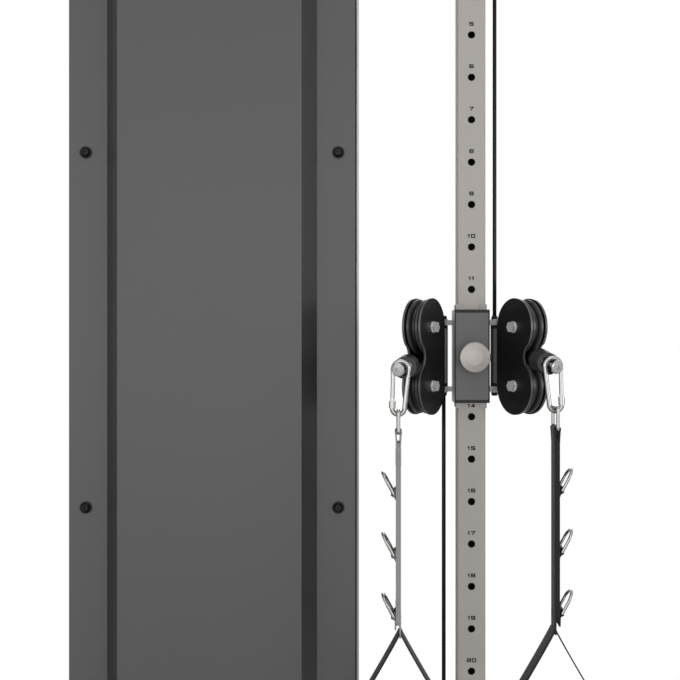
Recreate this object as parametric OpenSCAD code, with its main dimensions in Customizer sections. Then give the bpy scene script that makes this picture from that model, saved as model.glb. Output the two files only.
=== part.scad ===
// Cable machine: a weight tower, a numbered upright and a carriage with two swivelling twin-pulley blocks.
// Millimetres, +Z up, front is -Y. The origin is the upright's axis on the floor.

/* [Upright] */
// Width and depth of the square upright
upright_w = 50; // [48:1:52]
// Wall of the upright
upright_wall = 3; // [2:0.5:4]
// Height of the upright's top end
upright_top = 2056; // [2050:2:2062]
// Height of the highest pin hole
hole_top_z = 2000; // [1990:5:2010]
// Distance from one pin hole to the next
hole_pitch = 75; // [74:0.5:76]
// Number of pin holes
hole_count = 24; // [20:1:25]
// Diameter of a pin hole
hole_d = 13; // [12:0.5:14]

/* [Base] */
// Width and height of the foot tubes
foot_w = 60; // [50:5:70]
// Length of a foot tube, front to back
foot_len = 800; // [700:20:1000]
// Wall of the foot tubes
foot_wall = 3; // [2:0.5:5]
// Thickness of the rubber pads
pad_t = 10; // [6:1:14]
// Thickness of the anchor flanges
flange_t = 8; // [6:1:10]
// Diameter of an anchor hole
anchor_d = 13; // [11:1:15]
// Height of the bottom beam
beam_h = 114; // [112:1:118]

/* [Tower] */
// Distance from the upright's axis to the middle of the tower
tower_offset = 458.5; // [450:0.5:480]
// Width of the tower
tower_w = 506; // [500:1:520]
// Width of a tower column
column_w = 40; // [36:1:44]
// Depth of a tower column
column_d = 128; // [110:2:140]
// Height of the tower
tower_top = 2190; // [2188:1:2196]
// Height of the shroud's lower edge
shroud_z0 = 130; // [126:1:160]
// Sheet thickness of the shroud
sheet_t = 2; // [1.5:0.5:2.5]
// Width of the shroud's flat middle panel
panel_w = 321; // [315:1:326]
// How far the middle panel stands forward
panel_rise = 25; // [22:1:28]
// Height of the lowest shroud screw
screw_z0 = 237; // [200:1:260]
// Distance from one shroud screw to the next
screw_pitch = 627.5; // [600:0.5:640]
// Distance from a shroud screw to the tower's side
screw_inset = 30; // [26:1:34]
// Diameter of a shroud screw's head
screw_head_d = 21.6; // [18:0.2:24]

/* [Weight stack] */
// Width of a weight plate
plate_w = 350; // [330:2:356]
// Depth of a weight plate
plate_d = 96; // [90:2:98]
// Height taken by one weight plate
plate_pitch = 30; // [26:1:32]
// Number of plates above the selector pin, with the pinned one
lifted_count = 5; // [2:1:8]
// Number of plates left standing
standing_count = 9; // [4:1:10]
// Distance between the two guide rods
rod_spacing = 220; // [210:2:240]
// Diameter of a guide rod
rod_d = 25; // [20:1:28]
// Diameter of the selector rod
selector_d = 22; // [20:1:24]
// Diameter of the selector pin
pin_d = 10; // [8:0.5:11]
// Height of the rubber buffers
buffer_h = 30; // [20:2:40]

/* [Pulleys and cable] */
// Diameter of the coated cable
cable_d = 7.2; // [6:0.1:7.6]
// Outer diameter of a pulley
pulley_d = 96; // [95:0.5:98]
// Width of a pulley
pulley_w = 22; // [20:0.5:23]
// Radius of the cable's centre line round a pulley
run_r = 43.6; // [43:0.1:44.4]
// Diameter of an axle bolt
axle_d = 10; // [8:0.5:12]
// Distance from the upright's axis plane to the cable, to each side
cable_x = 46.2; // [45:0.1:48]
// Distance of the cable behind the upright's axis
cable_y = 22; // [21:0.5:24]

/* [Carriage] */
// Height of the carriage's middle above the floor, as photographed
carriage_z = 1132; // [1132:1:1132]
// Width of the carriage
carriage_w = 62; // [60:0.5:63]
// Height of the carriage
carriage_h = 164; // [160:1:168]
// Front of the carriage's cover, in front of the upright's axis
carriage_front = 38; // [38:0.5:40]
// Back of the carriage sleeve, behind the upright's axis
carriage_back = 31; // [30.5:0.5:34]
// Thickness of a hinge lug
lug_t = 9; // [7:0.5:10]
// Distance of a hinge lug above or below the carriage's middle
lug_z = 60; // [58:0.5:64]
// Diameter of the pull knob
knob_d = 53; // [50:1:56]
// Distance of the knob's face from the carriage's cover
knob_reach = 58; // [56:1:66]
// Travel of the lock pins
lock_stroke = 7.5; // [6:0.5:7.5]
// Diameter of a lock pin
lock_pin_d = 12; // [10:0.5:12.4]

/* [Swivel blocks] */
// Angle of a block in front of the sideways direction, as photographed
swing = 62; // [60:1:64]
// Distance from the pivot to the pulley axles
block_reach = 83; // [82:0.5:90]
// Distance from one pulley axle to the other
axle_gap = 102; // [101:0.5:106]
// Radius of a cheek plate round an axle
cheek_r = 50; // [49:0.5:54]
// Thickness of a cheek plate
cheek_t = 4; // [3:0.5:5]
// Width over both cheek plates
block_w = 35; // [34:0.5:38]
// Radius of the cable passage in the block
passage_r = 30; // [28:0.5:32]
// Outer diameter of the pivot barrel
barrel_d = 15; // [14:0.5:16]

/* [Cable ends] */
// Length of the rubber stop sleeve
sleeve_len = 53; // [48:1:56]
// Largest diameter of the sleeve
sleeve_d = 41; // [36:0.5:42]
// Diameter of the sleeve's mouth
mouth_d = 35; // [32:0.5:37]
// Downward tilt of the right sleeve
tilt_right = 13; // [12:0.5:14]
// Downward tilt of the left sleeve
tilt_left = 8; // [6:0.5:9]
// Wire diameter of the snap hook
hook_wire = 8; // [7:0.2:8]
// Radius of the hook's top bend at the wire's middle
hook_top_r = 13; // [12.5:0.1:14]
// Radius of the hook's bottom bend at the wire's middle
hook_low_r = 10.2; // [9.5:0.1:11]
// Distance between the centres of the hook's two bends
hook_span = 65; // [62:1:68]
// Wire diameter of the rectangular ring
ring_wire = 6; // [5:0.1:6.2]
// Width of the rectangular ring at the wire's middle
ring_w = 44; // [42.5:0.5:48]
// Height of the rectangular ring at the wire's middle
ring_h = 36; // [32:0.5:40]

/* [Straps] */
// Width of the webbing
web_w = 37; // [30:1:37]
// Thickness of one layer of webbing
web_t = 2.8; // [2:0.1:3]
// Length of the strap from its ring to the top of the stirrup
strap_len = 337; // [330:1:360]
// Half angle of the stirrup's two legs
stirrup_angle = 31.5; // [30:0.5:34]
// Height of the stirrup
stirrup_h = 121; // [118:1:130]
// Length of the grip tube
grip_len = 120; // [100:1:122]
// Diameter of the grip tube
grip_d = 32; // [30:0.5:34]
// Wire diameter of a D-ring
d_wire = 5; // [4:0.1:5.4]
// Width of a D-ring at the wire's middle
d_w = 34; // [33:0.5:38]
// Length of a D-ring's straight legs
d_leg = 20; // [16:0.5:24]
// Outward lean of a D-ring
d_lean = 28; // [20:1:35]
// Distance from one D-ring to the next
d_pitch = 101; // [95:1:105]
// Distance of the first D-ring's bar below the ring
d_first = 100; // [90:1:110]

/* [Hidden] */
$fn = 48;

// Clearance between pieces that are bolted or laid together
fit = 0.1;
// Clearance between pieces that slide on each other
slide_gap = 0.3;
// Clearance of an axle in its bearing
run_gap = 0.05;
// Overlap that joins solids of one piece
weld = 0.5;

// Places along the tower
tower_x = -tower_offset;
half_w = tower_w / 2;
flange_y = -upright_w / 2;
return_y = flange_y + 76;
column_back = return_y + column_d;
foot_x = tower_x - half_w + foot_w / 2;
mid_foot_x = tower_x + half_w - foot_w / 2;
foot_top = pad_t + foot_w;
beam_top = pad_t + beam_h;
beam_d = 58;
beam_wall = 4;
beam_y0 = return_y - beam_d;
top_beam_z0 = upright_top + 8;
top_beam_x1 = cable_x + 16;

// Places of the guide pulleys
top_z = top_beam_z0 + pulley_d / 2 + 8;
low_z = pad_t + beam_wall + 2 + cable_d / 2 + run_r;
top_pulley_x = cable_x - run_r;
feed_pulley_x = tower_x + 2 * run_r;
return_pulley_x = tower_x - 2 * run_r;
corner_gap = pulley_d + 4;
corner_pulley_x = return_pulley_x - corner_gap;
exit_pulley_x = -cable_x - run_r;

// Heights of the weight stack
bridge_t = 8;
stack_z0 = beam_top + bridge_t + buffer_h;
head_z = stack_z0 + (standing_count + lifted_count) * plate_pitch;
head_h = 40;
stack_pulley_z = head_z + head_h + pulley_d / 2 + 14;
pinned_z = stack_z0 + (standing_count + 0.5) * plate_pitch;

// Places on a swivel block, seen from its side, with u outward from the pivot
dz = axle_gap / 2;
arc_z = dz - ((run_r - passage_r) - (block_reach - passage_r) * sin(tilt_right)) / cos(tilt_right);
sleeve_u = 112;
left_sleeve_u = 121;
hook_y = 125;
neck_u = (hook_y + cable_y) / sin(swing);
cable_end_u = 127;
right_touch = [block_reach - run_r * sin(tilt_right), dz - run_r * cos(tilt_right)];
left_touch = [block_reach + run_r * sin(tilt_left), run_r * cos(tilt_left) - dz];
// Height of a cable end's axis above the carriage's middle, at a distance u from the pivot
function right_line(u) = right_touch[1] - (u - right_touch[0]) * tan(tilt_right);
function left_line(u) = left_touch[1] - (u - left_touch[0]) * tan(tilt_left);

// Places of the hook, ring and strap of the right side
neck_r = 5.5;
hook_seat = 1.2;
hook_x = cable_x + neck_u * cos(swing) + 1.5;
hook_z = carriage_z + right_line(neck_u) - hook_seat;
hook_dx = 4.5;
hook_low = [hook_x + hook_dx, hook_z - sqrt(hook_span * hook_span - hook_dx * hook_dx)];
ring_top_z = hook_low[1] - hook_low_r + hook_wire / 2 + ring_wire / 2;
ring_low_z = ring_top_z - ring_h;
strap_x = hook_low[0];
apex_z = ring_low_z - strap_len;
grip_z = apex_z - stirrup_h;
strap_half = 1.5 * web_t;
tab_r = d_wire / 2 + slide_gap + web_t;
d_bar_x = strap_half + tab_r - web_t / 2;
left_drop = right_line(neck_u) - left_line(neck_u);

// A rectangle with round corners, centred
module rrect(w, d, r) {
    square([w, d - 2 * r], center = true);
    square([w - 2 * r, d], center = true);
    for (x = [-1, 1], y = [-1, 1]) translate([x * (w / 2 - r), y * (d / 2 - r)]) circle(r = r);
}

// A box from its low corner to its high corner
module block(low, high) {
    translate(low) cube(high - low);
}

// An outline in X and Z, as a solid from y0 to y1
module upright_sheet(y0, y1) {
    translate([0, y1, 0]) rotate([90, 0, 0]) linear_extrude(y1 - y0) children();
}

// A cylinder along Y from y0 to y1
module bar_y(x, z, y0, y1, r) {
    translate([x, y0, z]) rotate([-90, 0, 0]) cylinder(r = r, h = y1 - y0);
}

// A round wire between two points in the XZ plane
module wire_line(p, q, r) {
    d = q - p;
    translate([p[0], 0, p[1]]) rotate([0, atan2(d[0], d[1]), 0]) cylinder(r = r, h = norm(d));
}

// A round wire bent about a centre in the XZ plane, from angle a0 through sweep, counted from +X towards +Z
module wire_arc(c, bend_r, a0, sweep, r) {
    translate([c[0], 0, c[1]]) rotate([90, 0, 0]) rotate([0, 0, a0])
        rotate_extrude(angle = sweep) translate([bend_r, 0]) circle(r = r);
}

// A grooved nylon wheel with a pressed-in ball bearing, its axle along Y
bearing_r = 13;
module pulley(x, y, z) {
    rim_r = pulley_d / 2;
    w = pulley_w / 2;
    groove_r = cable_d / 2 + 0.2;
    translate([x, y, z]) rotate([90, 0, 0]) {
        color("#1d1d1e") rotate_extrude($fn = 96) difference() {
            polygon([
                [bearing_r, -w], [19, -w], [22, -w + 4], [33, -w + 4], [36, -w], [rim_r - 1, -w],
                [rim_r, -w + 1], [rim_r, w - 1], [rim_r - 1, w], [36, w], [33, w - 4],
                [22, w - 4], [19, w], [bearing_r, w]
            ]);
            translate([run_r, 0]) circle(r = groove_r);
            polygon([
                [run_r, -groove_r], [rim_r + 1, -w + 4], [rim_r + 1, w - 4], [run_r, groove_r]
            ]);
        }
        color("#b8b8ba") difference() {
            cylinder(r = bearing_r, h = pulley_w + 1, center = true);
            cylinder(r = axle_d / 2 + run_gap, h = pulley_w + 3, center = true);
            for (s = [-1, 1]) translate([0, 0, s * (pulley_w / 2 + 0.5)])
                difference() {
                    cylinder(r = bearing_r - 2.5, h = 2, center = true);
                    cylinder(r = bearing_r - 5, h = 3, center = true);
                }
        }
    }
}

// A hexagon bolt along Y with its head, washers and nut, through walls from y0 to y1
module axle_bolt(x, z, y0, y1, nut_at_back = true) {
    head_t = 6.4;
    washer_t = 2;
    bar_y(x, z, y0 - washer_t - 1, y1 + washer_t + 9, axle_d / 2);
    translate([x, y0 - washer_t, z]) rotate([90, 0, 0]) cylinder(r = axle_d * 0.98, h = head_t, $fn = 6);
    translate([x, y1 + washer_t + 8, z]) rotate([90, 0, 0]) cylinder(r = axle_d * 0.98, h = 8, $fn = 6);
    for (y = [y0 - washer_t, y1]) bar_y(x, z, y, y + washer_t, axle_d);
}

// Base frame

beam_x0 = tower_x - half_w;
beam_x1 = -foot_w / 2;

module foot_tube(x, y0, y1) {
    translate([x, y1, pad_t + foot_w / 2]) rotate([90, 0, 0]) linear_extrude(y1 - y0) difference() {
        rrect(foot_w, foot_w, 4);
        rrect(foot_w - 2 * foot_wall, foot_w - 2 * foot_wall, 2);
    }
}

flange_len = 80;
anchor_y = foot_len / 2 + 25;
module anchor_flange(x, side, holed = true) {
    y = side * (foot_len / 2 - 30 + flange_len / 2);
    translate([x, y, pad_t]) linear_extrude(flange_t) difference() {
        rrect(foot_w + 20, flange_len, 8);
        if (holed) translate([0, side * anchor_y - y]) circle(r = anchor_d / 2);
    }
}

module gusset(side) {
    run = 60;
    y0 = side * upright_w / 2;
    translate([-3, 0, 0]) rotate([90, 0, 90]) linear_extrude(6)
        polygon([[y0, foot_top], [y0 + side * run, foot_top], [y0 + side * run, foot_top + 8], [y0, foot_top + run]]);
}

module base_frame() color("#2b2c2e") {
    half = foot_len / 2;
    difference() {
        union() {
            foot_tube(foot_x, -half, beam_y0 + weld);
            foot_tube(foot_x, return_y - weld, half);
        }
        // Room for the corner pulley's bolt beside the foot
        bar_y(corner_pulley_x, low_z, beam_y0 - 20, beam_y0, 13);
        bar_y(corner_pulley_x, low_z, return_y, return_y + 24, 13);
    }
    foot_tube(mid_foot_x, return_y - weld, half);
    foot_tube(0, -half, half);
    for (x = [foot_x, 0], side = [-1, 1]) anchor_flange(x, side);
    anchor_flange(mid_foot_x, 1, false);
    for (side = [-1, 1]) gusset(side);
    difference() {
        block([beam_x0, beam_y0, pad_t], [beam_x1 + weld, return_y, beam_top]);
        block([beam_x0 + beam_wall, beam_y0 + beam_wall, pad_t + beam_wall],
              [beam_x1 - beam_wall, return_y - beam_wall, beam_top - beam_wall]);
        for (x = [corner_pulley_x, exit_pulley_x]) {
            bar_y(x, low_z, beam_y0 - 1, return_y + 1, axle_d / 2 + fit);
            block([x - pulley_d / 2 - 3, cable_y - 16, beam_top - beam_wall - 1],
                  [x + pulley_d / 2 + 3, cable_y + 16, beam_top + 1]);
        }
    }
    // Bridge plate that carries the guide rods and the weight stack
    difference() {
        block([tower_x - plate_w / 2, cable_y - plate_d / 2, beam_top],
              [tower_x + plate_w / 2, cable_y + plate_d / 2, beam_top + bridge_t]);
        for (side = [-1, 1]) translate([tower_x + side * rod_spacing / 2, cable_y, beam_top - 1])
            cylinder(r = rod_d / 2 + fit, h = bridge_t + 2);
    }
}

// Rubber pads under the flanges with plastic plugs in the tube ends, and buffers under the stack
module foot_pad(x, side, holed) {
    y = side * (foot_len / 2 - 30 + flange_len / 2);
    translate([x, y, 0]) linear_extrude(pad_t) difference() {
        rrect(foot_w + 20, flange_len, 8);
        if (holed) translate([0, side * anchor_y - y]) circle(r = anchor_d / 2);
    }
}

module tube_plug(x, side) {
    inner = foot_w / 2 - foot_wall - 0.8;
    z0 = pad_t + flange_t + fit;
    y = side * foot_len / 2;
    block([x - foot_w / 2 + 1, min(y, y + side * 3), z0], [x + foot_w / 2 - 1, max(y, y + side * 3), foot_top - 1]);
    block([x - inner, min(y + side, y - side * 12), z0], [x + inner, max(y + side, y - side * 12), foot_top - foot_wall - 0.8]);
}

module rubber_feet() color("#1a1a1a") {
    for (x = [foot_x, 0], side = [-1, 1]) {
        foot_pad(x, side, true);
        tube_plug(x, side);
    }
    foot_pad(mid_foot_x, 1, false);
    tube_plug(mid_foot_x, 1);
    linear_extrude(pad_t) rrect(foot_w, foot_w, 6);
    for (side = [-1, 1]) translate([tower_x + side * rod_spacing / 2, cable_y, beam_top + bridge_t])
        difference() {
            cylinder(r1 = 26, r2 = 22, h = buffer_h);
            translate([0, 0, -1]) cylinder(r = rod_d / 2 + slide_gap, h = buffer_h + 2);
        }
}

// Upright with its pin holes and the plate that carries the top beam
module upright() color("#a8a5a1") {
    difference() {
        translate([0, 0, foot_top]) linear_extrude(upright_top - foot_top) difference() {
            rrect(upright_w, upright_w, 3.5);
            rrect(upright_w - 2 * upright_wall, upright_w - 2 * upright_wall, 1.5);
        }
        for (n = [0 : hole_count - 1])
            bar_y(0, hole_top_z - n * hole_pitch, -upright_w, -upright_w / 2 + upright_wall + 1, hole_d / 2);
    }
    block([-upright_w / 2 - 8, -upright_w / 2 - 3, upright_top], [upright_w / 2 + 8, return_y, top_beam_z0]);
}

// Top beam, a channel that is open below, with the plate that holds the tops of the guide rods
module top_beam() color("#a8a5a1") {
    pulleys = [top_pulley_x, feed_pulley_x, return_pulley_x, corner_pulley_x];
    difference() {
        block([beam_x0 + sheet_t + fit, beam_y0, top_beam_z0], [top_beam_x1, return_y, tower_top - sheet_t]);
        block([beam_x0 + sheet_t + beam_wall, beam_y0 + beam_wall, top_beam_z0 - 1],
              [top_beam_x1 - beam_wall, return_y - beam_wall, tower_top - sheet_t - beam_wall]);
        for (x = pulleys) bar_y(x, top_z, beam_y0 - 1, return_y + 1, axle_d / 2 + fit);
    }
    difference() {
        block([tower_x - rod_spacing / 2 - 30, beam_y0, top_beam_z0 - bridge_t],
              [tower_x + rod_spacing / 2 + 30, return_y, top_beam_z0]);
        for (side = [-1, 1]) translate([tower_x + side * rod_spacing / 2, cable_y, top_beam_z0 - bridge_t - 1])
            cylinder(r = rod_d / 2 + fit, h = bridge_t + 2);
        translate([tower_x, cable_y, top_beam_z0 - bridge_t - 1]) linear_extrude(bridge_t + 2)
            rrect(2 * run_r + 24, 26, 6);
    }
}

// Tower columns, each a rectangular tube with the angle rail that the front shroud screws to
rail_w = 38;
module column(side) {
    x = tower_x + side * (half_w - column_w / 2);
    edge = tower_x + side * (half_w - sheet_t - fit);
    rail_in = edge - side * rail_w;
    front = flange_y + sheet_t + fit;
    rail_t = 3;
    difference() {
        union() {
            translate([x, (return_y + column_back) / 2, foot_top]) linear_extrude(tower_top - sheet_t - foot_top)
                difference() {
                    rrect(column_w, column_d, 4);
                    rrect(column_w - 6, column_d - 6, 2);
                }
            block([min(edge, rail_in), front, shroud_z0 + 4], [max(edge, rail_in), front + rail_t, tower_top - 6]);
            block([min(edge, edge - side * rail_t), front, shroud_z0 + 4],
                  [max(edge, edge - side * rail_t), return_y + weld, top_beam_z0 - bridge_t - 2]);
        }
        for (n = [0 : 3]) bar_y(tower_x + side * (half_w - screw_inset), screw_z0 + n * screw_pitch,
            front - 1, front + rail_t + 1, 5 + fit);
        for (n = [0 : 2]) translate([tower_x, panel_y + panel_flange / 2, panel_screw_z(n)]) rotate([0, 90, 0])
            cylinder(r = 3 + fit, h = tower_w, center = true);
    }
}

module tower_columns() color("#b4b2af") {
    for (side = [-1, 1]) column(side);
}

// Front shroud, one bent sheet with a closed top
foot_half = panel_w / 2 + panel_rise;
module shroud_outline(t) {
    k = t * tan(22.5);
    edge = half_w - t;
    foot = foot_half - k;
    top = panel_w / 2 - k;
    y = flange_y + t;
    polygon([
        [-edge, return_y], [-edge, y], [-foot, y], [-top, y - panel_rise], [top, y - panel_rise],
        [foot, y], [edge, y], [edge, return_y]
    ]);
}

module front_shroud() color("#5c5c5d") {
    difference() {
        translate([tower_x, 0, shroud_z0]) union() {
            linear_extrude(tower_top - shroud_z0) difference() {
                shroud_outline(0);
                shroud_outline(sheet_t);
                translate([-half_w - 1, return_y - 1]) square([tower_w + 2, 3]);
            }
            translate([0, 0, tower_top - shroud_z0 - sheet_t + fit]) linear_extrude(sheet_t) union() {
                shroud_outline(0);
                translate([-half_w, return_y - 2]) square([tower_w, column_d + 2]);
            }
        }
        for (side = [-1, 1], n = [0 : 3])
            bar_y(tower_x + side * (half_w - screw_inset), screw_z0 + n * screw_pitch, flange_y - 1,
                flange_y + sheet_t + 1, 5 + fit);
        // Notch where the top beam leaves the tower
        block([tower_x + half_w - 10, beam_y0 - 2, top_beam_z0 - 2],
              [tower_x + half_w + 10, return_y + 1, tower_top - sheet_t]);
    }
}

// Rear panel between the columns, with a long window that the selector pin's handle travels in
panel_y = 96;
panel_flange = 20;
panel_half = half_w - column_w - fit;
window_w = 130;
lift_travel = 1000;
window_z0 = stack_z0 - 8;
window_z1 = head_z + lift_travel + 20;
function panel_screw_z(n) = shroud_z0 + 120 + n * 880;

module rear_panel() color("#4a4a4b") {
    difference() {
        translate([tower_x, 0, shroud_z0]) linear_extrude(tower_top - 2 * sheet_t - shroud_z0) union() {
            block_2d(-panel_half, panel_y, panel_half, panel_y + sheet_t);
            for (side = [-1, 1]) block_2d(min(side * panel_half, side * (panel_half - sheet_t)), panel_y,
                max(side * panel_half, side * (panel_half - sheet_t)), panel_y + panel_flange);
        }
        upright_sheet(panel_y - 1, panel_y + sheet_t + 1) translate([tower_x, (window_z0 + window_z1) / 2])
            rrect(window_w, window_z1 - window_z0, 12);
        for (n = [0 : 2]) translate([tower_x, panel_y + panel_flange / 2, panel_screw_z(n)]) rotate([0, 90, 0])
            cylinder(r = 3 + fit, h = tower_w, center = true);
    }
}

module block_2d(x0, y0, x1, y1) {
    translate([x0, y0]) square([x1 - x0, y1 - y0]);
}

// Screws of the shroud and rear panel, and the axle bolts of the guide pulleys
module shroud_screw() {
    difference() {
        union() {
            cylinder(r = screw_head_d / 2, h = 1.6);
            translate([0, 0, 1.6]) cylinder(r1 = 8.6, r2 = 5.5, h = 4.4);
            translate([0, 0, -12]) cylinder(r = 5, h = 12.5);
        }
        translate([0, 0, 3]) cylinder(r = 3.4, h = 4, $fn = 6);
    }
}

module frame_fasteners() {
    color("#1c1c1d") for (side = [-1, 1], n = [0 : 3])
        translate([tower_x + side * (half_w - screw_inset), flange_y, screw_z0 + n * screw_pitch])
            rotate([90, 0, 0]) shroud_screw();
    color("#1c1c1d") for (side = [-1, 1], n = [0 : 2])
        translate([tower_x + side * (panel_half - sheet_t), panel_y + panel_flange / 2, panel_screw_z(n)])
            rotate([0, -side * 90, 0]) {
                cylinder(r1 = 5.5, r2 = 4, h = 3);
                translate([0, 0, -9]) cylinder(r = 3, h = 9.5);
            }
    color("#b8b8ba") {
        for (x = [top_pulley_x, feed_pulley_x, return_pulley_x, corner_pulley_x])
            axle_set(x, top_z);
        for (x = [corner_pulley_x, exit_pulley_x]) axle_set(x, low_z);
    }
}

// One guide pulley's bolt with the two spacers between the bearing and the walls
module axle_set(x, z) {
    axle_bolt(x, z, beam_y0, return_y);
    for (side = [-1, 1]) {
        inner = cable_y + side * (pulley_w / 2 + 0.5 + slide_gap);
        outer = side < 0 ? beam_y0 + beam_wall : return_y - beam_wall;
        difference() {
            bar_y(x, z, min(inner, outer), max(inner, outer), axle_d / 2 + 3);
            bar_y(x, z, min(inner, outer) - 1, max(inner, outer) + 1, axle_d / 2);
        }
    }
}

// Guide rods of the weight stack
module guide_rods() color("#d2d2d4") {
    for (side = [-1, 1]) translate([tower_x + side * rod_spacing / 2, cable_y, beam_top])
        cylinder(r = rod_d / 2, h = top_beam_z0 - beam_top);
}

// Weight plates with their rod holes, selector hole and pin hole
plate_t = plate_pitch - 0.2;
module weight_plate(n) {
    z = stack_z0 + n * plate_pitch;
    difference() {
        translate([tower_x, cable_y, z]) linear_extrude(plate_t) difference() {
            rrect(plate_w, plate_d, 6);
            for (side = [-1, 1]) translate([side * rod_spacing / 2, 0]) circle(r = rod_d / 2 + 2);
            circle(r = selector_d / 2 + 1);
        }
        bar_y(tower_x, z + plate_pitch / 2, cable_y, cable_y + plate_d / 2 + 1, pin_d / 2 + slide_gap);
    }
}

module standing_plates() color("#2e2f31") {
    for (n = [0 : standing_count - 1]) weight_plate(n);
}

module lifted_plates() color("#2e2f31") {
    for (n = [standing_count : standing_count + lifted_count - 1]) weight_plate(n);
}

// Stack head with its guide bushes, selector rod, pulley bracket and axle
cheek_gap = pulley_w / 2 + 1.2;
module stack_head() {
    color("#2e2f31") difference() {
        union() {
            translate([tower_x, cable_y, head_z]) linear_extrude(head_h) difference() {
                rrect(plate_w, plate_d, 8);
                for (side = [-1, 1]) translate([side * rod_spacing / 2, 0]) circle(r = rod_d / 2 + 4);
            }
            for (side = [-1, 1]) translate([0, cable_y + side * (cheek_gap + 3), 0]) rotate([90, 0, 0])
                linear_extrude(6, center = true) {
                    translate([tower_x, stack_pulley_z]) circle(r = 20);
                    translate([tower_x - 20, head_z + head_h - 1]) square([40, stack_pulley_z - head_z - head_h + 1]);
                }
        }
        bar_y(tower_x, stack_pulley_z, cable_y - 30, cable_y + 30, axle_d / 2 + fit);
    }
    color("#c9c9cb") difference() {
        translate([tower_x, cable_y, stack_z0 + 2]) cylinder(r = selector_d / 2, h = head_z - stack_z0 - 1.9);
        bar_y(tower_x, pinned_z, cable_y - 20, cable_y + 20, pin_d / 2 + slide_gap);
    }
    color("#e8e6e0") for (side = [-1, 1]) translate([tower_x + side * rod_spacing / 2, cable_y, head_z - 0.1])
        difference() {
            union() {
                cylinder(r = rod_d / 2 + 4 - fit, h = head_h + 4);
                translate([0, 0, head_h + 0.2]) cylinder(r = rod_d / 2 + 8, h = 4);
            }
            translate([0, 0, -1]) cylinder(r = rod_d / 2 + slide_gap, h = head_h + 8);
        }
    color("#b8b8ba") axle_bolt(tower_x, stack_pulley_z, cable_y - cheek_gap - 6, cable_y + cheek_gap + 6);
}

// Selector pin with its grip behind the stack
module selector_pin() {
    back = cable_y + plate_d / 2;
    color("#c9c9cb") bar_y(tower_x, pinned_z, cable_y - selector_d / 2 + 1, back + 9, pin_d / 2 - fit);
    color("#c4491f") translate([tower_x, back + 1, pinned_z]) rotate([-90, 0, 0]) rotate_extrude() polygon([
        [pin_d / 2 - 2, 7], [9, 7], [9, 0], [13, 0], [14, 2], [10, 14], [12, 26], [17, 32], [17, 37], [14, 40], [0, 40], [0, 8]
    ]);
}

// Cable where the frame holds it: over the top pulleys, down the tower, under the bottom pulleys
module cable_color() color("#161617") children();

module frame_cable() cable_color() translate([0, cable_y, 0]) {
    r = cable_d / 2;
    over = top_z + run_r;
    under = low_z - run_r;
    wire_arc([top_pulley_x, top_z], run_r, 0, 90, r);
    wire_line([top_pulley_x, over], [feed_pulley_x, over], r);
    wire_arc([feed_pulley_x, top_z], run_r, 90, 90, r);
    wire_arc([return_pulley_x, top_z], run_r, 0, 90, r);
    wire_line([return_pulley_x, over], [corner_pulley_x, over], r);
    wire_arc([corner_pulley_x, top_z], run_r, 90, 90, r);
    wire_line([corner_pulley_x - run_r, low_z], [corner_pulley_x - run_r, top_z], r);
    wire_arc([corner_pulley_x, low_z], run_r, 180, 90, r);
    wire_line([corner_pulley_x, under], [exit_pulley_x, under], r);
    wire_arc([exit_pulley_x, low_z], run_r, 270, 90, r);
}

// Cable beside the upright, above the right block and below the left one
spigot_end = lug_z + lug_t / 2 + 8;
module right_run_cable() cable_color()
    translate([cable_x, cable_y, carriage_z + spigot_end])
        cylinder(r = cable_d / 2, h = top_z - carriage_z - spigot_end);

module left_run_cable() cable_color()
    translate([-cable_x, cable_y, low_z]) cylinder(r = cable_d / 2, h = carriage_z - spigot_end - low_z);

// Cable's loop from the two pulleys over the stack down to the travelling one
module stack_loop_cable() cable_color() translate([0, cable_y, 0]) {
    r = cable_d / 2;
    for (side = [-1, 1]) wire_line([tower_x + side * run_r, stack_pulley_z], [tower_x + side * run_r, top_z], r);
    wire_arc([tower_x, stack_pulley_z], run_r, 180, 180, r);
}

// Carriage sleeve: sides, back, end webs and four hinge lugs
sleeve_wall = 4;
cover_t = 2;
module carriage_sleeve() color("#8f8f90") {
    inner = carriage_w / 2 - sleeve_wall;
    hole = upright_w / 2 + 1;
    front = -carriage_front + cover_t;
    back = carriage_back;
    translate([0, 0, carriage_z]) {
        linear_extrude(carriage_h, center = true) difference() {
            block_2d(-carriage_w / 2, front, carriage_w / 2, back);
            block_2d(-inner, front - 1, inner, back - 3.5);
        }
        for (side = [-1, 1]) translate([0, 0, side * (carriage_h / 2 - 2)]) linear_extrude(4, center = true)
            difference() {
                block_2d(-inner - weld, front, inner + weld, back - 1);
                block_2d(-liner_out, -liner_out, liner_out, liner_out);
            }
        for (side = [-1, 1], end = [-1, 1]) translate([side * cable_x, cable_y, end * lug_z])
            difference() {
                linear_extrude(lug_t, center = true) union() {
                    circle(r = 10);
                    block_2d(min(0, -side * (cable_x - inner - 1)), -9, max(0, -side * (cable_x - inner - 1)), 9);
                }
                cylinder(r = spigot_r + run_gap, h = lug_t + 2, center = true);
            }
    }
}

// Plastic liners at the sleeve's four corners, which stand out above and below it
liner_out = carriage_w / 2 - sleeve_wall - fit;
module carriage_liners() color("#232323") {
    inner = upright_w / 2 + slide_gap;
    length = carriage_h + 20;
    translate([0, 0, carriage_z]) linear_extrude(length, center = true)
        for (x = [-1, 1], y = [-1, 1]) scale([x, y]) difference() {
            block_2d(14, 14, liner_out, liner_out);
            block_2d(13, 13, inner, inner);
        }
}

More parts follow.
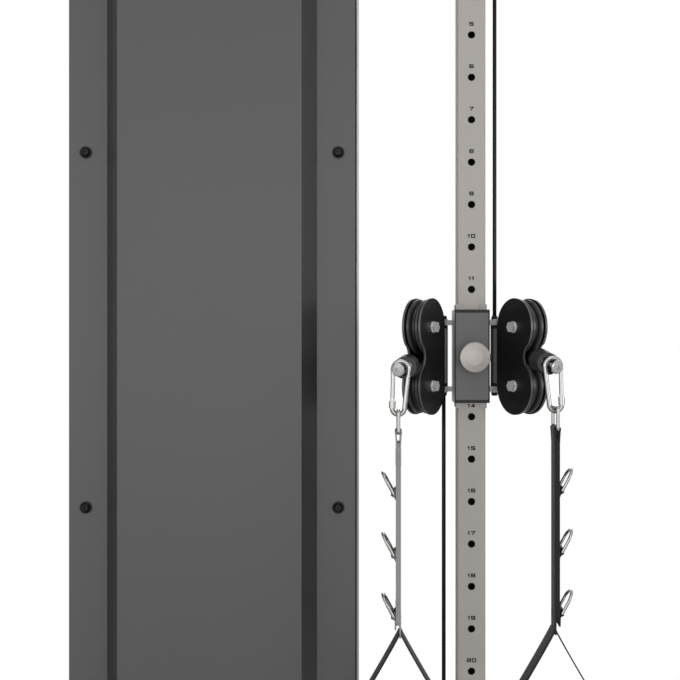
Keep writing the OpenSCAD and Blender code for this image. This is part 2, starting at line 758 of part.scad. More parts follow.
// Front cover: a black dished frame round a flat grey plate
border_x = 2.6;
border_z = 5.6;
stem_z = -1;
stem_r = 6;
housing_r = 13;
module carriage_cover() {
    front = -carriage_front;
    translate([0, 0, carriage_z]) {
        color("#2d2d2d") upright_sheet(front, front + cover_t) difference() {
            square([carriage_w, carriage_h], center = true);
            square([carriage_w - 2 * border_x, carriage_h - 2 * border_z], center = true);
        }
        color("#5b5b5c") difference() {
            upright_sheet(front + 0.4, front + cover_t) square([carriage_w - 2 * border_x, carriage_h - 2 * border_z], center = true);
            bar_y(0, stem_z, front - 1, front + cover_t + 1, housing_r);
        }
        // Spring housing that the plunger's stem runs in
        color("#2d2d2d") difference() {
            bar_y(0, stem_z, front - 30, front + cover_t, housing_r);
            bar_y(0, stem_z, front - 27, front + cover_t + 1, housing_r - 3);
            bar_y(0, stem_z, front - 31, front, stem_r + slide_gap);
        }
    }
}

// Pull knob, a domed disc with a rounded rim
module pull_knob() color("#aeaaa7") {
    r = knob_d / 2;
    translate([0, -carriage_front - knob_reach, carriage_z + stem_z]) rotate([-90, 0, 0])
        rotate_extrude($fn = 96) difference() {
            union() {
                polygon([
                    [0, 0], [r * 0.5, 0.7], [r - 3, 2.2], [r, 5.2], [r, 12], [r - 3, 15], [14, 16], [11, 18], [0, 18]
                ]);
                translate([r - 3, 5.2]) circle(r = 3);
            }
            translate([0, 10]) square([stem_r + fit, 20]);
        }
}

// Lock plunger: stem, spring collar and the yoke with its two pins
yoke_t = 3;
yoke_y = -carriage_front + cover_t + slide_gap;
lock_holes = [43, 43 - hole_pitch];
module lock_plunger() color("#c2c2c4") {
    tip = -upright_w / 2 - slide_gap;
    translate([0, 0, carriage_z]) {
        bar_y(0, stem_z, -carriage_front - knob_reach + 10, yoke_y + 1, stem_r);
        bar_y(0, stem_z, yoke_y - 6, yoke_y - 3, housing_r - 3 - slide_gap);
        upright_sheet(yoke_y, yoke_y + yoke_t) translate([0, (lock_holes[0] + lock_holes[1]) / 2])
            rrect(22, hole_pitch + 20, 8);
        for (z = lock_holes) {
            bar_y(0, z, yoke_y + 1, tip - 1, lock_pin_d / 2);
            translate([0, tip - 1, z]) rotate([-90, 0, 0]) cylinder(r1 = lock_pin_d / 2, r2 = lock_pin_d / 2 - 1, h = 1);
        }
    }
}

// Coil spring round the stem, five turns between the housing's front and the collar
spring_wire = 0.9;
module plunger_spring() color("#9a9a9c") {
    y0 = -carriage_front - 27 + spring_wire;
    y1 = yoke_y - 6 - spring_wire;
    turns = 5;
    steps = 10;
    count = turns * steps;
    r = stem_r + 2;
    sides = 4;
    points = [
        for (i = [0 : count], k = [0 : sides - 1])
            let (a = 360 * i / steps, y = y0 + (y1 - y0) * i / count, b = 45 + 360 * k / sides)
            [(r + spring_wire * cos(b)) * cos(a), y + spring_wire * sin(b), (r + spring_wire * cos(b)) * sin(a)]
    ];
    faces = concat(
        [[for (k = [0 : sides - 1]) k]],
        [for (i = [0 : count - 1], k = [0 : sides - 1])
            [i * sides + k, (i + 1) * sides + k, (i + 1) * sides + (k + 1) % sides]],
        [for (i = [0 : count - 1], k = [0 : sides - 1])
            [i * sides + k, (i + 1) * sides + (k + 1) % sides, i * sides + (k + 1) % sides]],
        [[for (k = [sides - 1 : -1 : 0]) count * sides + k]]
    );
    translate([0, 0, carriage_z + stem_z]) polyhedron(points, faces);
}

// Swivel block, in its own frame: u along X from the pivot, the cheeks to either side in Y
spigot_r = 6;
module block_place(side) {
    mirror([side < 0 ? 1 : 0, 0, 0]) translate([cable_x, cable_y, carriage_z]) rotate([0, 0, -swing]) children();
}

waist_u = 135;
waist_r = 24.5;
module cheek_outline() {
    straight = block_reach - cheek_r;
    difference() {
        union() {
            for (s = [-1, 1]) translate([block_reach, s * dz]) circle(r = cheek_r, $fn = 96);
            block_2d(straight, -dz, block_reach, dz);
            block_2d(block_reach, -21, block_reach + 39.5, 21);
        }
        translate([waist_u, 0]) circle(r = waist_r, $fn = 96);
    }
}

bolt_hole_r = axle_d / 2 + fit;
passage_bore = cable_d / 2 + 0.6;
module block_frame() color("#1e1e1f") {
    inner = block_w / 2 - cheek_t;
    outer = block_w / 2;
    straight = block_reach - cheek_r;
    barrel_half = lug_z - lug_t / 2 - slide_gap;
    difference() {
        union() {
            for (s = [-1, 1]) upright_sheet(s > 0 ? inner : -outer, s > 0 ? outer : -inner) cheek_outline();
            linear_extrude(98, center = true) polygon([
                [0, -barrel_d / 2], [10, -barrel_d / 2 - 1.5], [straight, -outer], [straight + 5, -outer],
                [straight + 5, outer], [straight, outer], [10, barrel_d / 2 + 1.5], [0, barrel_d / 2]
            ]);
            cylinder(r = barrel_d / 2, h = 2 * barrel_half, center = true);
            cylinder(r = spigot_r, h = 2 * spigot_end - 8, center = true);
            for (s = [-1, 1]) mirror([0, 0, s < 0 ? 1 : 0]) translate([0, 0, spigot_end - 4])
                cylinder(r1 = spigot_r, r2 = spigot_r - 1, h = 4);
        }
        for (s = [-1, 1]) {
            bar_y(block_reach, s * dz, -outer - 1, outer + 1, bolt_hole_r);
            bar_y(block_reach, s * dz, -inner, inner, pulley_d / 2 + 2);
            mirror([0, 0, s < 0 ? 1 : 0]) {
                translate([0, 0, arc_z]) cylinder(r = passage_bore, h = spigot_end - arc_z + 1);
                wire_arc([passage_r, arc_z], passage_r, 180, 90 - tilt_right, passage_bore);
                wire_line([passage_r * (1 - sin(tilt_right)), arc_z - passage_r * cos(tilt_right)],
                    [straight + 12, right_line(straight + 12)], passage_bore);
            }
        }
    }
}

// Block hardware: axle bolts, spacers beside the bearings and snap rings on the pivot
module block_hardware() color("#bdbdbf") {
    outer = block_w / 2;
    inner = outer - cheek_t;
    for (s = [-1, 1]) {
        axle_bolt(block_reach, s * dz, -outer, outer);
        for (side = [-1, 1]) {
            a = side * (pulley_w / 2 + 0.5 + slide_gap);
            b = side * inner;
            difference() {
                bar_y(block_reach, s * dz, min(a, b), max(a, b), axle_d / 2 + 3);
                bar_y(block_reach, s * dz, min(a, b) - 1, max(a, b) + 1, axle_d / 2);
            }
        }
        translate([0, 0, s * (lug_z + lug_t / 2 + slide_gap + 0.6)]) difference() {
            cylinder(r = spigot_r + 2, h = 1.2, center = true);
            cylinder(r = spigot_r, h = 2, center = true);
        }
    }
}

module block_pulley(side, s) {
    block_place(side) pulley(block_reach, 0, s * dz);
}

// Cable inside the right block: down the barrel, round the passage and out under the upper pulley
module right_block_cable() cable_color() block_place(1) {
    r = cable_d / 2;
    meet = sleeve_u - 8;
    translate([0, 0, arc_z]) cylinder(r = r, h = spigot_end - arc_z);
    wire_arc([passage_r, arc_z], passage_r, 180, 90 - tilt_right, r);
    wire_line([passage_r * (1 - sin(tilt_right)), arc_z - passage_r * cos(tilt_right)], [meet, right_line(meet)], r);
}

// The stretch of cable that grows as the right handle is pulled
module right_pull_cable() cable_color() block_place(1) {
    meet = sleeve_u - 8;
    wire_line([meet, right_line(meet)], [cable_end_u, right_line(cable_end_u)], cable_d / 2);
}

// Gap between two stretches of one cable
cable_gap = 0.01;

// Cable inside the left block: up the barrel, round the passage and out over the lower pulley
module left_block_cable() cable_color() block_place(-1) {
    r = cable_d / 2;
    in_dir = [cos(tilt_right), sin(tilt_right)];
    out_dir = [cos(tilt_left), -sin(tilt_left)];
    arc_end = [passage_r * (1 - sin(tilt_right)), passage_r * cos(tilt_right) - arc_z];
    touch = [right_touch[0], -right_touch[1]];
    translate([0, 0, -spigot_end]) cylinder(r = r, h = spigot_end - arc_z);
    wire_arc([passage_r, -arc_z], passage_r, 90 + tilt_right, 90 - tilt_right, r);
    wire_line(arc_end + cable_gap * in_dir, touch - cable_gap * in_dir, r);
    wire_arc([block_reach, -dz], run_r, 90 - tilt_left, tilt_left + tilt_right, r);
    wire_line(left_touch + cable_gap * out_dir, [cable_end_u, left_line(cable_end_u)], r);
}

// Rubber stop sleeve with its hollow mouth, and the steel end bolt that the hook hangs on
module stop_sleeve(side, start_u, start_z, tilt) {
    depth = 15;
    end = sleeve_len - (start_u - sleeve_u) / cos(tilt);
    neck_s = (neck_u - start_u) / cos(tilt);
    disc_s = neck_s + 11.3;
    block_place(side) translate([start_u, 0, start_z]) rotate([0, 90 + tilt, 0]) {
        color("#242424") difference() {
            rotate_extrude($fn = 64) difference() {
                polygon([
                    [cable_d / 2 + fit, 0], [8, 0], [12, 6.2], [sleeve_d / 2 - 0.8, 18.5], [sleeve_d / 2, 21.5], [mouth_d / 2, end],
                    [13.5, end], [13, end - depth], [cable_d / 2 + fit, end - depth]
                ]);
            }
            translate([0, 0, neck_s]) rotate([0, -90 - tilt, 0]) rotate([0, 0, swing])
                translate([0, -20, 0]) cube([70, 49, 70], center = true);
        }
        color("#c6c6c8") {
            translate([0, 0, end - depth - 12]) cylinder(r = neck_r, h = disc_s - end + depth + 12);
            translate([0, 0, end - depth + 0.1]) cylinder(r = 9, h = 4);
            translate([0, 0, disc_s]) difference() {
                rotate_extrude() polygon([[0, 0], [10.6, 0], [11.4, 0.8], [11.4, 3.2], [9.8, 4.6], [0, 5]]);
                translate([0, 0, 3]) cylinder(r = 4, h = 3, $fn = 6);
            }
        }
    }
}

// Snap hook, a pear of round wire with a gap for its gate
low_angle = atan2(hook_x - hook_low[0], hook_z - hook_low[1]);
tangent_a = acos((hook_low_r - hook_top_r) / hook_span);
spine_a = 90 - low_angle + tangent_a;
gate_a = 90 - low_angle - tangent_a;
function rim(c, r, a) = c + r * [cos(a), sin(a)];
gate_top = rim([hook_x, hook_z], hook_top_r, gate_a);
gate_low = rim(hook_low, hook_low_r, gate_a);
function gate_point(t) = gate_low + t * (gate_top - gate_low);
gate_from = 0.2;
gate_to = 0.84;
gate_r = 3.5;
gate_barrel_r = 4.6;
gate_half = 3.6;
gate_dir = (gate_top - gate_low) / norm(gate_top - gate_low);
gate_pivot = gate_point(gate_from);

module side_place(side) {
    if (side > 0) children();
    else translate([0, 0, -left_drop]) mirror([1, 0, 0]) children();
}

module hook(side) color("#c9c8c6") side_place(side) translate([0, -hook_y, 0]) {
    r = hook_wire / 2;
    top = [hook_x, hook_z];
    wire_arc(top, hook_top_r, gate_a, spine_a - gate_a, r);
    wire_line(rim(hook_low, hook_low_r, spine_a), rim(top, hook_top_r, spine_a), r);
    wire_arc(hook_low, hook_low_r, spine_a, 360 + gate_a - spine_a, r);
    wire_line(gate_point(gate_to), gate_top, r);
    difference() {
        wire_line(gate_low, gate_point(gate_from + 0.05), r + 1.4);
        bar_y(gate_pivot[0], gate_pivot[1], -gate_half - slide_gap, gate_half + slide_gap, gate_barrel_r + slide_gap);
        translate([gate_pivot[0], 0, gate_pivot[1]])
            block([-10, -gate_half - slide_gap, 0], [10, gate_half + slide_gap, 12]);
    }
}

// Hook gate, which turns inward about its lower end
module gate(side) color("#c0bfbd") side_place(side) translate([0, -hook_y, 0]) {
    wire_line(gate_pivot, gate_point(gate_to) - slide_gap * gate_dir, gate_r);
    bar_y(gate_pivot[0], gate_pivot[1], -gate_half, gate_half, gate_barrel_r);
}

// Rectangular ring, edge-on to the front
module ring(side) color("#bdbcba") side_place(side) translate([strap_x, -hook_y, 0]) {
    bend = ring_wire / 2 + 0.2;
    r = ring_wire / 2;
    half = ring_w / 2;
    mid_z = (ring_top_z + ring_low_z) / 2;
    for (z = [ring_top_z, ring_low_z]) bar_y(0, z, -half + bend, half - bend, r);
    for (s = [-1, 1]) translate([0, s * half, ring_low_z + bend]) cylinder(r = r, h = ring_h - 2 * bend);
    for (s = [-1, 1], t = [-1, 1]) translate([0, 0, mid_z]) mirror([0, s < 0 ? 1 : 0, 0]) mirror([0, 0, t < 0 ? 1 : 0])
        translate([0, half - bend, ring_h / 2 - bend]) rotate([0, -90, 180]) rotate([0, 0, 0]) mirror([0, 1, 0])
            rotate_extrude(angle = 90) translate([bend, 0]) circle(r = r);
}

// Webbing strap: a loop round the ring, two sewn layers with D-ring tabs, and the stirrup
module strap_outline() {
    loop_in = ring_wire / 2 + slide_gap;
    loop_out = loop_in + web_t;
    neck_z = ring_low_z - 22;
    last_tab = ring_low_z - d_first - 2 * d_pitch;
    difference() {
        union() {
            translate([0, ring_low_z]) circle(r = loop_out);
            polygon([[-loop_out, ring_low_z], [loop_out, ring_low_z], [strap_half, neck_z], [-strap_half, neck_z]]);
        }
        translate([0, ring_low_z]) circle(r = loop_in);
        polygon([[-loop_in, ring_low_z], [loop_in, ring_low_z], [0, neck_z + 4]]);
    }
    block_2d(-strap_half, apex_z, -strap_half + web_t, neck_z + 0.5);
    block_2d(-strap_half + web_t - 0.1, last_tab - 14, strap_half, neck_z + 0.5);
}

module tab_outline() {
    for (n = [0 : 2]) {
        z = ring_low_z - d_first - n * d_pitch;
        difference() {
            union() {
                translate([d_bar_x, z]) circle(r = tab_r);
                polygon([[strap_half - 1, z - tab_r - 4], [d_bar_x, z - tab_r], [d_bar_x, z], [strap_half - 1, z + tab_r]]);
            }
            translate([d_bar_x, z]) circle(r = tab_r - web_t);
        }
    }
}

leg_t = 2.4;
corner_x = stirrup_h * tan(stirrup_angle);
module stirrup_leg() {
    k = leg_t / 2;
    polygon([
        [-strap_half + k, apex_z + 4], [-strap_half + 2 * k + 1, apex_z + 4], [corner_x + k, grip_z], [corner_x - k, grip_z]
    ]);
}

module strap(side) color("#2b2b2b") side_place(side) translate([strap_x, -hook_y, 0]) {
    upright_sheet(-web_w / 2, web_w / 2) {
        strap_outline();
        stirrup_leg();
        translate([-2 * strap_half + 2 * web_t, 0]) mirror([1, 0]) stirrup_leg();
    }
    // The tabs are narrower than the webbing, so that they fit inside the D-rings
    tab_half = (d_w - d_wire) / 2 - 0.6;
    upright_sheet(-tab_half, tab_half) tab_outline();
    // The webbing narrows where it turns in and runs through the grip
    upright_sheet(-11, 11) block_2d(-corner_x, grip_z - leg_t / 2, corner_x, grip_z + leg_t / 2);
    for (s = [-1, 1]) bar_y(s * corner_x, grip_z, -web_w / 2, web_w / 2, 2);
}

// D-ring on its tab, leaning outward
module d_ring(side, n) color("#b5b4b2") side_place(side)
    translate([strap_x + d_bar_x, -hook_y, ring_low_z - d_first - n * d_pitch]) rotate([0, d_lean, 0]) {
        r = d_wire / 2;
        bar_y(0, 0, -d_w / 2, d_w / 2, r);
        for (s = [-1, 1]) {
            translate([0, s * d_w / 2, 0]) cylinder(r = r, h = d_leg);
            translate([0, s * d_w / 2, 0]) sphere(r = r);
        }
        translate([0, 0, d_leg]) rotate([0, -90, 0]) rotate([0, 0, -90])
            rotate_extrude(angle = 180) translate([d_w / 2, 0]) circle(r = r);
    }

// Grip tube of the stirrup
module grip(side) color("#202021") side_place(side) translate([strap_x, -hook_y, grip_z]) rotate([0, 90, 0]) {
    half = grip_len / 2;
    r = grip_d / 2;
    rotate_extrude($fn = 64) polygon([
        [r - 4, -half], [r + 1, -half], [r + 1.6, -half + 1], [r + 1.6, -half + 5], [r - 1, -half + 8], [r, 0], [r - 1, half - 8],
        [r + 1.6, half - 5], [r + 1.6, half - 1], [r + 1, half], [r - 4, half]
    ]);
}

base_frame();
rubber_feet();
upright();
top_beam();
tower_columns();
front_shroud();
rear_panel();
frame_fasteners();
guide_rods();
standing_plates();
pulley(top_pulley_x, cable_y, top_z);  // upright_top_pulley
pulley(feed_pulley_x, cable_y, top_z);  // stack_feed_pulley
pulley(return_pulley_x, cable_y, top_z);  // stack_return_pulley
pulley(corner_pulley_x, cable_y, top_z);  // corner_top_pulley
pulley(corner_pulley_x, cable_y, low_z);  // corner_bottom_pulley
pulley(exit_pulley_x, cable_y, low_z);  // upright_bottom_pulley
frame_cable();
right_run_cable();
left_run_cable();
stack_loop_cable();
lifted_plates();
stack_head();
selector_pin();
pulley(tower_x, cable_y, stack_pulley_z);  // stack_pulley
carriage_sleeve();
carriage_liners();
carriage_cover();
pull_knob();
lock_plunger();
plunger_spring();
block_place(1) block_frame();  // right_block_frame
block_place(-1) block_frame();  // left_block_frame
block_place(1) block_hardware();  // right_block_hardware
block_place(-1) block_hardware();  // left_block_hardware
block_pulley(1, 1);  // right_upper_pulley
block_pulley(1, -1);  // right_lower_pulley
block_pulley(-1, 1);  // left_upper_pulley
block_pulley(-1, -1);  // left_lower_pulley
right_block_cable();
left_block_cable();
right_pull_cable();
stop_sleeve(1, sleeve_u, right_line(sleeve_u), tilt_right);  // right_stop_sleeve
stop_sleeve(-1, left_sleeve_u, left_line(left_sleeve_u), tilt_left);  // left_stop_sleeve
hook(1);  // right_hook
hook(-1);  // left_hook
gate(1);  // right_gate
gate(-1);  // left_gate
ring(1);  // right_ring
ring(-1);  // left_ring
strap(1);  // right_strap
strap(-1);  // left_strap
d_ring(1, 0);  // right_d_ring_1
d_ring(1, 1);  // right_d_ring_2
d_ring(1, 2);  // right_d_ring_3
d_ring(-1, 0);  // left_d_ring_1
d_ring(-1, 1);  // left_d_ring_2
d_ring(-1, 2);  // left_d_ring_3
grip(1);  // right_grip
grip(-1);  // left_grip
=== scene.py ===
import math

import bmesh
import bpy
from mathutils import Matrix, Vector


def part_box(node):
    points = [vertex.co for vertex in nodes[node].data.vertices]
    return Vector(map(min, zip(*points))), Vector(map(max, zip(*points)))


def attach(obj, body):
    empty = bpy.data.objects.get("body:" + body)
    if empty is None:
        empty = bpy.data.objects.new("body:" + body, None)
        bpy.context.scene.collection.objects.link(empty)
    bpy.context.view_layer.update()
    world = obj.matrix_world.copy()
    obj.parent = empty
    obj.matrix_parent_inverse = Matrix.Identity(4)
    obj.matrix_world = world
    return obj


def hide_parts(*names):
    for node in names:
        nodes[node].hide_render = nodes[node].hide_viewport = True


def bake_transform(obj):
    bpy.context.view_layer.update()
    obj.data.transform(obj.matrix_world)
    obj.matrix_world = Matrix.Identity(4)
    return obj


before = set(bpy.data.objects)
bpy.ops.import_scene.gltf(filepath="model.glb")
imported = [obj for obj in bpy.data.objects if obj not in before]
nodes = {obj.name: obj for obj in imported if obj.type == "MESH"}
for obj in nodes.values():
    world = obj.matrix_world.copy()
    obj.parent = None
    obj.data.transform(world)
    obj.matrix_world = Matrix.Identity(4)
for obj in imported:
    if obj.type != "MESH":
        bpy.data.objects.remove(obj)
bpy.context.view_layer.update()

# The camera. The photograph's vanishing point lies right of its middle, which a sideways shift of the lens
# gives, and the pin holes' even spacing gives its distance from the upright.
camera_data = bpy.data.cameras.new("front_camera")
camera_data.sensor_width = 36
camera_data.lens = 48.7
camera_data.shift_x = -0.0709
camera_data.clip_end = 30
camera = bpy.data.objects.new("front_camera", camera_data)
bpy.context.scene.collection.objects.link(camera)
camera.location = (-0.1472, -1.651, 1.1606)
camera.rotation_euler = (math.radians(90), 0, 0)
bpy.context.scene.camera = camera
bpy.context.scene.view_settings.view_transform = "Standard"


# The studio: a pale painted floor and a plain white world, with one large low softbox in front, one to each
# side, one overhead and one behind. The floor keeps the machine's shadow and fades to the world's white.
def linear(hex_colour):
    channels = [int(hex_colour[i:i + 2], 16) / 255 for i in (1, 3, 5)]
    return tuple([c / 12.92 if c <= 0.04045 else ((c + 0.055) / 1.055) ** 2.4 for c in channels] + [1.0])


def add_node(tree, kind, settings=None, links=None, **values):
    made = tree.nodes.new(kind)
    for name, value in (settings or {}).items():
        setattr(made, name, value)
    for name, value in values.items():
        made.inputs[name.replace("_", " ")].default_value = value
    for name, source in (links or {}).items():
        tree.links.new(source, made.inputs[name])
    return made


world = bpy.data.worlds.new("studio")
bpy.context.scene.world = world
world.use_nodes = True
tree = world.node_tree
tree.nodes.clear()
paths = add_node(tree, "ShaderNodeLightPath")
room = add_node(tree, "ShaderNodeBackground", Color=linear("#ffffff"), Strength=0.3)
mirrored = add_node(tree, "ShaderNodeBackground", Color=linear("#ffffff"), Strength=0.75)
lit = add_node(tree, "ShaderNodeMixShader", links={0: paths.outputs["Is Glossy Ray"], 1: room.outputs[0],
                                                   2: mirrored.outputs[0]})
backdrop = add_node(tree, "ShaderNodeBackground", Color=linear("#ffffff"), Strength=1.0)
seen = add_node(tree, "ShaderNodeMixShader", links={"Fac": paths.outputs["Is Camera Ray"]})
tree.links.new(lit.outputs[0], seen.inputs[1])
tree.links.new(backdrop.outputs[0], seen.inputs[2])
add_node(tree, "ShaderNodeOutputWorld", links={"Surface": seen.outputs[0]})

for name, place, size, power, target in (
    ("front_softbox", (-0.7, -5.4, 0.9), 4.4, 98, (-0.2, 0, 1.0)),
    ("right_softbox", (3.6, -2.2, 1.5), 1.8, 34, (0, 0, 1.0)),
    ("left_softbox", (-3.4, -2.6, 1.3), 1.8, 18, (-0.2, 0, 1.0)),
    ("top_softbox", (-0.2, -0.9, 4.6), 2.4, 22, (-0.2, 0, 1.0)),
    ("back_softbox", (0.6, 4.2, 2.4), 2.2, 34, (-0.2, 0, 1.1)),
):
    lamp = bpy.data.lights.new(name, "AREA")
    lamp.shape = "SQUARE"
    lamp.size = size
    lamp.energy = power
    holder = bpy.data.objects.new(name, lamp)
    holder.location = place
    holder.rotation_euler = (Vector(target) - Vector(place)).to_track_quat("-Z", "Y").to_euler()
    bpy.context.scene.collection.objects.link(holder)

floor_mesh = bpy.data.meshes.new("floor")
floor_mesh.from_pydata([(-9, -9, 0), (9, -9, 0), (9, 9, 0), (-9, 9, 0)], [], [(0, 1, 2, 3)])
floor = bpy.data.objects.new("floor", floor_mesh)
floor.location.z = -0.001
bpy.context.scene.collection.objects.link(floor)
paint = bpy.data.materials.new("pale_floor_paint")
paint.use_nodes = True
shader = paint.node_tree.nodes["Principled BSDF"]
shader.inputs["Base Color"].default_value = linear("#f0f0ef")
shader.inputs["Roughness"].default_value = 0.7
tree = paint.node_tree
place = add_node(tree, "ShaderNodeTexCoord")
reach = add_node(tree, "ShaderNodeVectorMath", {"operation": "LENGTH"}, {0: place.outputs["Object"]})
far = add_node(tree, "ShaderNodeMapRange", {"interpolation_type": "SMOOTHSTEP"},
               {"Value": reach.outputs["Value"]}, From_Min=0.4, From_Max=1.5, To_Min=0.5)
paths = add_node(tree, "ShaderNodeLightPath")
mask = add_node(tree, "ShaderNodeMath", {"operation": "MULTIPLY"},
                {0: far.outputs["Result"], 1: paths.outputs["Is Camera Ray"]})
glow = add_node(tree, "ShaderNodeEmission", Color=linear("#ffffff"), Strength=1.0)
faded = add_node(tree, "ShaderNodeMixShader",
                 links={0: mask.outputs[0], 1: shader.outputs[0], 2: glow.outputs[0]})
tree.links.new(faded.outputs[0], tree.nodes["Material Output"].inputs["Surface"])
floor_mesh.materials.append(paint)


# Powder-coated steel of the frame: base, beams, columns and panels. Sprayed powder melts to a hard skin with
# a very fine orange peel, so the gloss is soft and slightly uneven. The peel is drawn 1.2 mm wide so that it
# shows.
def coat(name, colour, rough, peel=0.05, speck=0.02, grain=0.0012, shine=0.5):
    made = bpy.data.materials.new(name)
    made.use_nodes = True
    tree = made.node_tree
    shader = tree.nodes["Principled BSDF"]
    shader.inputs["IOR"].default_value = 1.5
    shader.inputs["Specular IOR Level"].default_value = shine
    place = add_node(tree, "ShaderNodeTexCoord")
    point = place.outputs["Object"]
    fine = add_node(tree, "ShaderNodeTexNoise", links={"Vector": point}, Scale=1 / grain / 2, Detail=2.0)
    broad = add_node(tree, "ShaderNodeTexNoise", links={"Vector": point}, Scale=5.0, Detail=3.0)
    base = linear(colour)
    tone = add_node(tree, "ShaderNodeValToRGB", links={"Fac": broad.outputs["Fac"]})
    tone.color_ramp.elements[0].position = 0.3
    tone.color_ramp.elements[1].position = 0.7
    tone.color_ramp.elements[0].color = tuple(c * (1 - speck) for c in base[:3]) + (1,)
    tone.color_ramp.elements[1].color = tuple(min(1, c * (1 + speck)) for c in base[:3]) + (1,)
    tree.links.new(tone.outputs["Color"], shader.inputs["Base Color"])
    gloss = add_node(tree, "ShaderNodeMapRange", links={"Value": fine.outputs["Fac"]},
                     To_Min=rough - 0.05, To_Max=rough + 0.05)
    tree.links.new(gloss.outputs["Result"], shader.inputs["Roughness"])
    relief = add_node(tree, "ShaderNodeBump", links={"Height": fine.outputs["Fac"]},
                      Strength=peel, Distance=0.0004)
    tree.links.new(relief.outputs["Normal"], shader.inputs["Normal"])
    return made


def dress(node, *materials):
    mesh = nodes[node].data
    mesh.materials.clear()
    for m in materials:
        mesh.materials.append(m)
    for face in mesh.polygons:
        face.material_index = 0
    return mesh


dark_coat = coat("dark_grey_powder_coat", "#2f3033", 0.42)
dress("base_frame", dark_coat)
warm_coat = coat("warm_grey_powder_coat", "#b5b0ab", 0.55, speck=0.012)
dress("top_beam", warm_coat)
silver_coat = coat("silver_powder_coat", "#a5a4a2", 0.5, shine=0.1)
dress("tower_columns", silver_coat)
dress("rear_panel", coat("grey_panel_powder_coat", "#4d4d4e", 0.45))

# The upright, square steel tube in warm grey powder coat. The coat stops at the holes' edges, and the inside
# of the tube is bare and near black: partly the bare steel's own dark colour, partly painted shade.
# Near black inside the tube and on the hole walls: bare steel's colour with painted shade in it.
bore_steel_and_shade = coat("unpainted_tube_inside_and_painted_shade", "#232221", 0.6)
wall_x, wall_y, skin, tube_top = 0.0235, 0.0225, 0.0245, 2.05
mesh = dress("upright", warm_coat, bore_steel_and_shade)
for face in mesh.polygons:
    c, n = face.center, face.normal
    inside = abs(c.x) < wall_x and abs(c.y) < wall_y and c.z < tube_top
    facing_in = (c.x * n.x + c.y * n.y) < -0.0001
    if inside or (facing_in and abs(c.x) < skin and abs(c.y) < skin):
        face.material_index = 1

# The hole numbers, pad-printed in near black above each hole. The digits are wide and plain, 7.8 mm by
# 6.9 mm, drawn as strokes of 1.8 mm that lie 0.05 mm proud of the paint.
strokes = {
    "0": [[(0, 0), (1, 0), (1, 1), (0, 1), (0, 0)]],
    "1": [[(0.35, 0.75), (0.6, 1), (0.6, 0)]],
    "2": [[(0, 1), (1, 1), (1, 0.52), (0, 0.48), (0, 0), (1, 0)]],
    "3": [[(0, 1), (1, 1), (1, 0), (0, 0)], [(0.25, 0.5), (1, 0.5)]],
    "4": [[(0.7, 0), (0.7, 1), (0, 0.3), (1, 0.3)]],
    "5": [[(1, 1), (0, 1), (0, 0.55), (1, 0.5), (1, 0), (0, 0)]],
    "6": [[(1, 1), (0, 1), (0, 0), (1, 0), (1, 0.52), (0, 0.52)]],
    "7": [[(0, 1), (1, 1), (0.35, 0)]],
    "8": [[(0, 0), (1, 0), (1, 1), (0, 1), (0, 0)], [(0, 0.5), (1, 0.5)]],
    "9": [[(0, 0), (1, 0), (1, 1), (0, 1), (0, 0.48), (1, 0.48)]],
}
digit_w, digit_h, digit_gap, pen = 0.006, 0.0051, 0.003, 0.0018
one_width, one_lead = 0.45 * digit_w, 0.35 * digit_w
hole_top_z, hole_pitch, hole_count = 2.0, 0.075, 24
number_rise, printed_y = 0.0195, -0.02505
points, quads = [], []
for number in range(1, hole_count + 1):
    text = str(number)
    widths = [one_width if d == "1" else digit_w for d in text]
    x = -(sum(widths) + digit_gap * (len(text) - 1)) / 2
    z = hole_top_z - hole_pitch * (number - 1) + number_rise - digit_h / 2
    for digit, width in zip(text, widths):
        lead = one_lead if digit == "1" else 0
        for line in strokes[digit]:
            for (ax, az), (bx, bz) in zip(line, line[1:]):
                a = Vector((x + ax * digit_w - lead, z + az * digit_h))
                b = Vector((x + bx * digit_w - lead, z + bz * digit_h))
                along = (b - a).normalized() * pen / 2
                side = Vector((-along.y, along.x))
                first = len(points)
                for corner in (a - along - side, b + along - side, b + along + side, a - along + side):
                    points.append((corner.x, printed_y, corner.y))
                quads.append((first, first + 1, first + 2, first + 3))
        x += width + digit_gap
digit_mesh = bpy.data.meshes.new("hole_numbers")
digit_mesh.from_pydata(points, [], quads)
hole_numbers = bpy.data.objects.new("hole_numbers", digit_mesh)
bpy.context.scene.collection.objects.link(hole_numbers)
digit_mesh.materials.append(coat("printing_ink", "#131211", 0.6, peel=0.02, shine=0.2))
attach(hole_numbers, "frame")

# The front shroud, one bent steel sheet in neutral grey, smoother than the frame. Its slanted flanks stand at
# 45 degrees to the light, and their darker colour is painted shade; its side returns are matte and painted
# darker too, as painted shade.
shroud_coat = coat("shroud_powder_coat", "#545455", 0.46, peel=0.03, speck=0.01)
# Painted shade: darker copies of the shroud's grey, one for the slanted flanks and a matte one for the side
# returns.
painted_shade_flank_coat = coat("shroud_flank_painted_shade_coat", "#2b2b2c", 0.3, peel=0.03, speck=0.02)
painted_shade_return_coat = coat("shroud_return_painted_shade_coat", "#353535", 0.6, peel=0.03, shine=0.0)
mesh = dress("front_shroud", shroud_coat, painted_shade_flank_coat, painted_shade_return_coat)
for face in mesh.polygons:
    n = face.normal
    if abs(n.x) > 0.5 and abs(n.y) > 0.5:
        face.material_index = 1
    elif abs(n.x) > 0.9:
        face.material_index = 2

